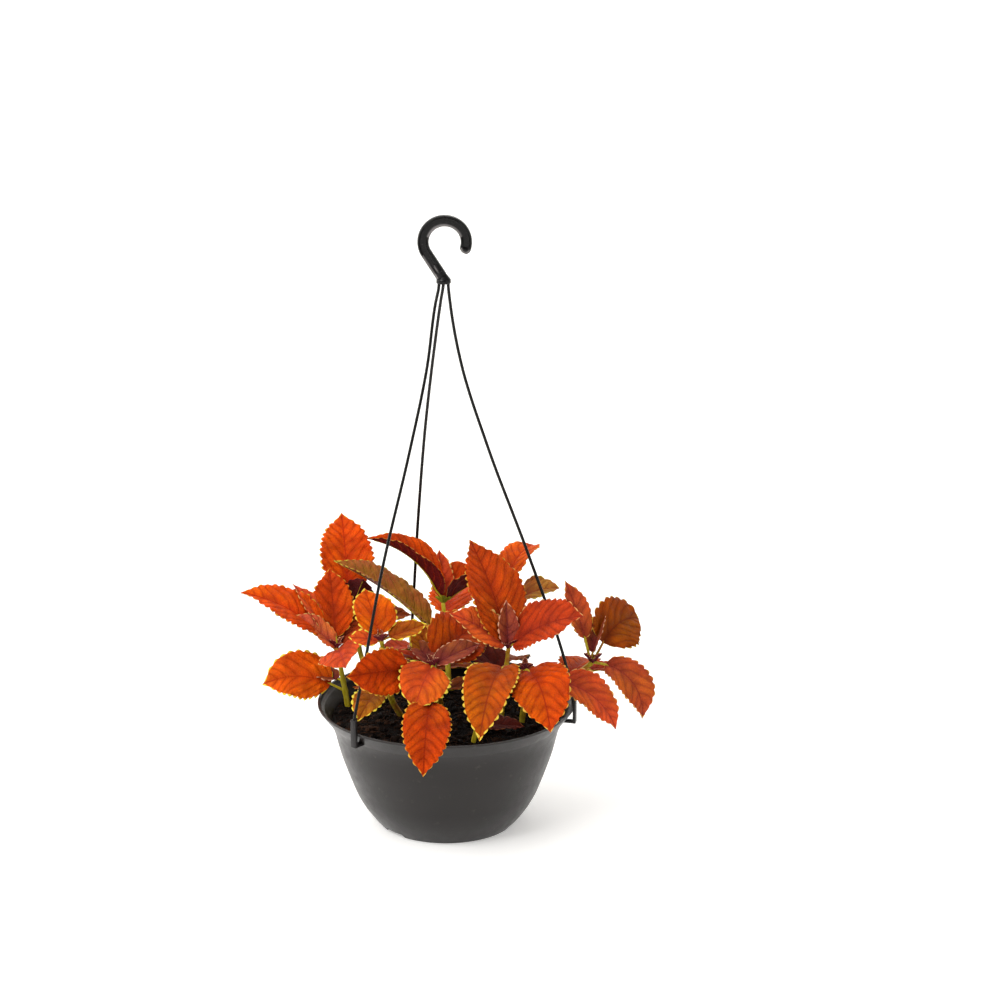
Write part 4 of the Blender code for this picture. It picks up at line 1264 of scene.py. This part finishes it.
def make_backdrop(look):
    """A white dome of 9 m all round, which stands behind every view and takes no part in the light."""
    around = np.radians(np.linspace(0.0, 360.0, 49))
    up = np.radians(np.linspace(-12.0, 89.5, 14))
    level = np.cos(up[:, None])
    points = BACKDROP_RADIUS * np.stack(np.broadcast_arrays(
        level * np.cos(around), level * np.sin(around), np.sin(up[:, None])), axis=-1)
    piece = make_piece("backdrop", points.reshape(-1, 3), grid_faces(len(up), len(around)))
    piece.data.materials.append(look)
    piece.visible_diffuse = False
    piece.visible_glossy = False
    piece.visible_transmission = False
    piece.visible_shadow = False


# Operators

class COLEUS_OT_plant(bpy.types.Operator):
    """Build every leafy stem with its blades, petioles and tip leaves"""
    bl_idname = "coleus.plant"
    bl_label = "Leafy stems"

    def execute(self, context):
        looks = [blade_material(), stem_material(context.scene.coleus_stems)]
        for number, (name, (corners, leaves)) in enumerate(SHOOTS.items()):
            make_shoot(name, corners, leaves, number, context.scene.coleus_leaves, looks)
        return {"FINISHED"}


class COLEUS_OT_soil(bpy.types.Operator):
    """Finish the potting soil and lay its surface, crumbs and fibres"""
    bl_idname = "coleus.soil"
    bl_label = "Potting soil"

    def execute(self, context):
        sizes = context.scene.coleus_soil
        bed = soil_material(sizes, by_crumb=False)
        loose = soil_material(sizes, by_crumb=True)
        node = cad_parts["potting_soil"]
        node.data.materials.clear()
        node.data.materials.append(bed)
        make_soil_bed(sizes, bed)
        make_crumbs(sizes, loose)
        make_fibres(sizes, loose)
        return {"FINISHED"}


class COLEUS_OT_pot(bpy.types.Operator):
    """Build the moulded pot"""
    bl_idname = "coleus.pot"
    bl_label = "Pot"

    def execute(self, context):
        make_pot(plastic_material(POT_PLASTIC, context.scene.coleus_plastic.pot))
        return {"FINISHED"}


class COLEUS_OT_hanger(bpy.types.Operator):
    """Build the hook and the three strands with their clips"""
    bl_idname = "coleus.hanger"
    bl_label = "Hanger"

    def execute(self, context):
        colours = context.scene.coleus_plastic
        black = plastic_material(HANGER_PLASTIC, colours.hanger)
        grey = plastic_material(CLIP_PLASTIC, colours.clip)
        make_hook(black)
        for name, (azimuth, top, radii) in STRANDS.items():
            make_strand(name, azimuth, top, radii, [black, grey])
        return {"FINISHED"}


class COLEUS_OT_stage(bpy.types.Operator):
    """Lay the floor, set the soft lights and place the camera"""
    bl_idname = "coleus.stage"
    bl_label = "Floor, light and camera"

    def execute(self, context):
        settings = context.scene.coleus_stage
        make_floor(opal_material("opal acrylic, lit from below", settings.floor, FLOOR_GLOW))
        make_backdrop(opal_material("opal acrylic, lit from behind", settings.floor, BACKDROP_GLOW))
        for name in LIGHTS:
            soft_light(name, settings.key_power if name == "key" else settings.fill_power)
        world = bpy.data.worlds.new("studio")
        world.use_nodes = True
        tree = world.node_tree
        shade = tree.nodes["Background"]
        shade.inputs["Color"].default_value = (*srgb(ROOM_COLOUR), 1.0)
        ahead = add_node(tree, "ShaderNodeTexCoord").outputs["Generated"]
        towards = add_node(tree, "ShaderNodeVectorMath", {"operation": "DOT_PRODUCT"}, {
            0: ahead, 1: BRIGHT_SIDE})
        strength = remap(tree, towards.outputs["Value"], *ROOM_SPAN, *ROOM_LIGHT)
        tree.links.new(strength, shade.inputs["Strength"])
        context.scene.world = world
        context.scene.view_settings.view_transform = "Standard"

        lens = bpy.data.cameras.new("camera")
        lens.lens = CAMERA_LENS
        lens.sensor_width = SENSOR
        lens.sensor_fit = "HORIZONTAL"
        lens.clip_end = 20.0
        camera = bpy.data.objects.new("camera", lens)
        camera.location = CAMERA_EYE
        camera.rotation_euler = facing(CAMERA_EYE, CAMERA_TARGET)
        context.scene.collection.objects.link(camera)
        context.scene.camera = camera
        return {"FINISHED"}


class COLEUS_PT_panel(bpy.types.Panel):
    """Settings and steps of the plant"""
    bl_idname = "COLEUS_PT_panel"
    bl_label = "Coleus"
    bl_space_type = "VIEW_3D"
    bl_region_type = "UI"
    bl_category = "Coleus"

    def draw(self, context):
        for group in SETTINGS:
            box = self.layout.box()
            settings = getattr(context.scene, group)
            for key in settings.bl_rna.properties.keys():
                if key not in ("rna_type", "name"):
                    box.prop(settings, key)
        for step in STEPS:
            self.layout.operator(step.bl_idname)


SETTINGS = {
    "coleus_leaves": LeafSettings,
    "coleus_stems": StemSettings,
    "coleus_soil": SoilSettings,
    "coleus_plastic": PlasticSettings,
    "coleus_stage": StageSettings,
}
STEPS = (COLEUS_OT_plant, COLEUS_OT_soil, COLEUS_OT_pot, COLEUS_OT_hanger, COLEUS_OT_stage)


def register():
    for item in (*SETTINGS.values(), *STEPS, COLEUS_PT_panel):
        bpy.utils.register_class(item)
    for name, group in SETTINGS.items():
        setattr(bpy.types.Scene, name, bpy.props.PointerProperty(type=group))


def unregister():
    for name in SETTINGS:
        delattr(bpy.types.Scene, name)
    for item in reversed((*SETTINGS.values(), *STEPS, COLEUS_PT_panel)):
        bpy.utils.unregister_class(item)


def main():
    """Build everything in order."""
    register()
    bpy.ops.coleus.plant()
    bpy.ops.coleus.soil()
    bpy.ops.coleus.pot()
    bpy.ops.coleus.hanger()
    bpy.ops.coleus.stage()


if __name__ == "__main__":
    main()
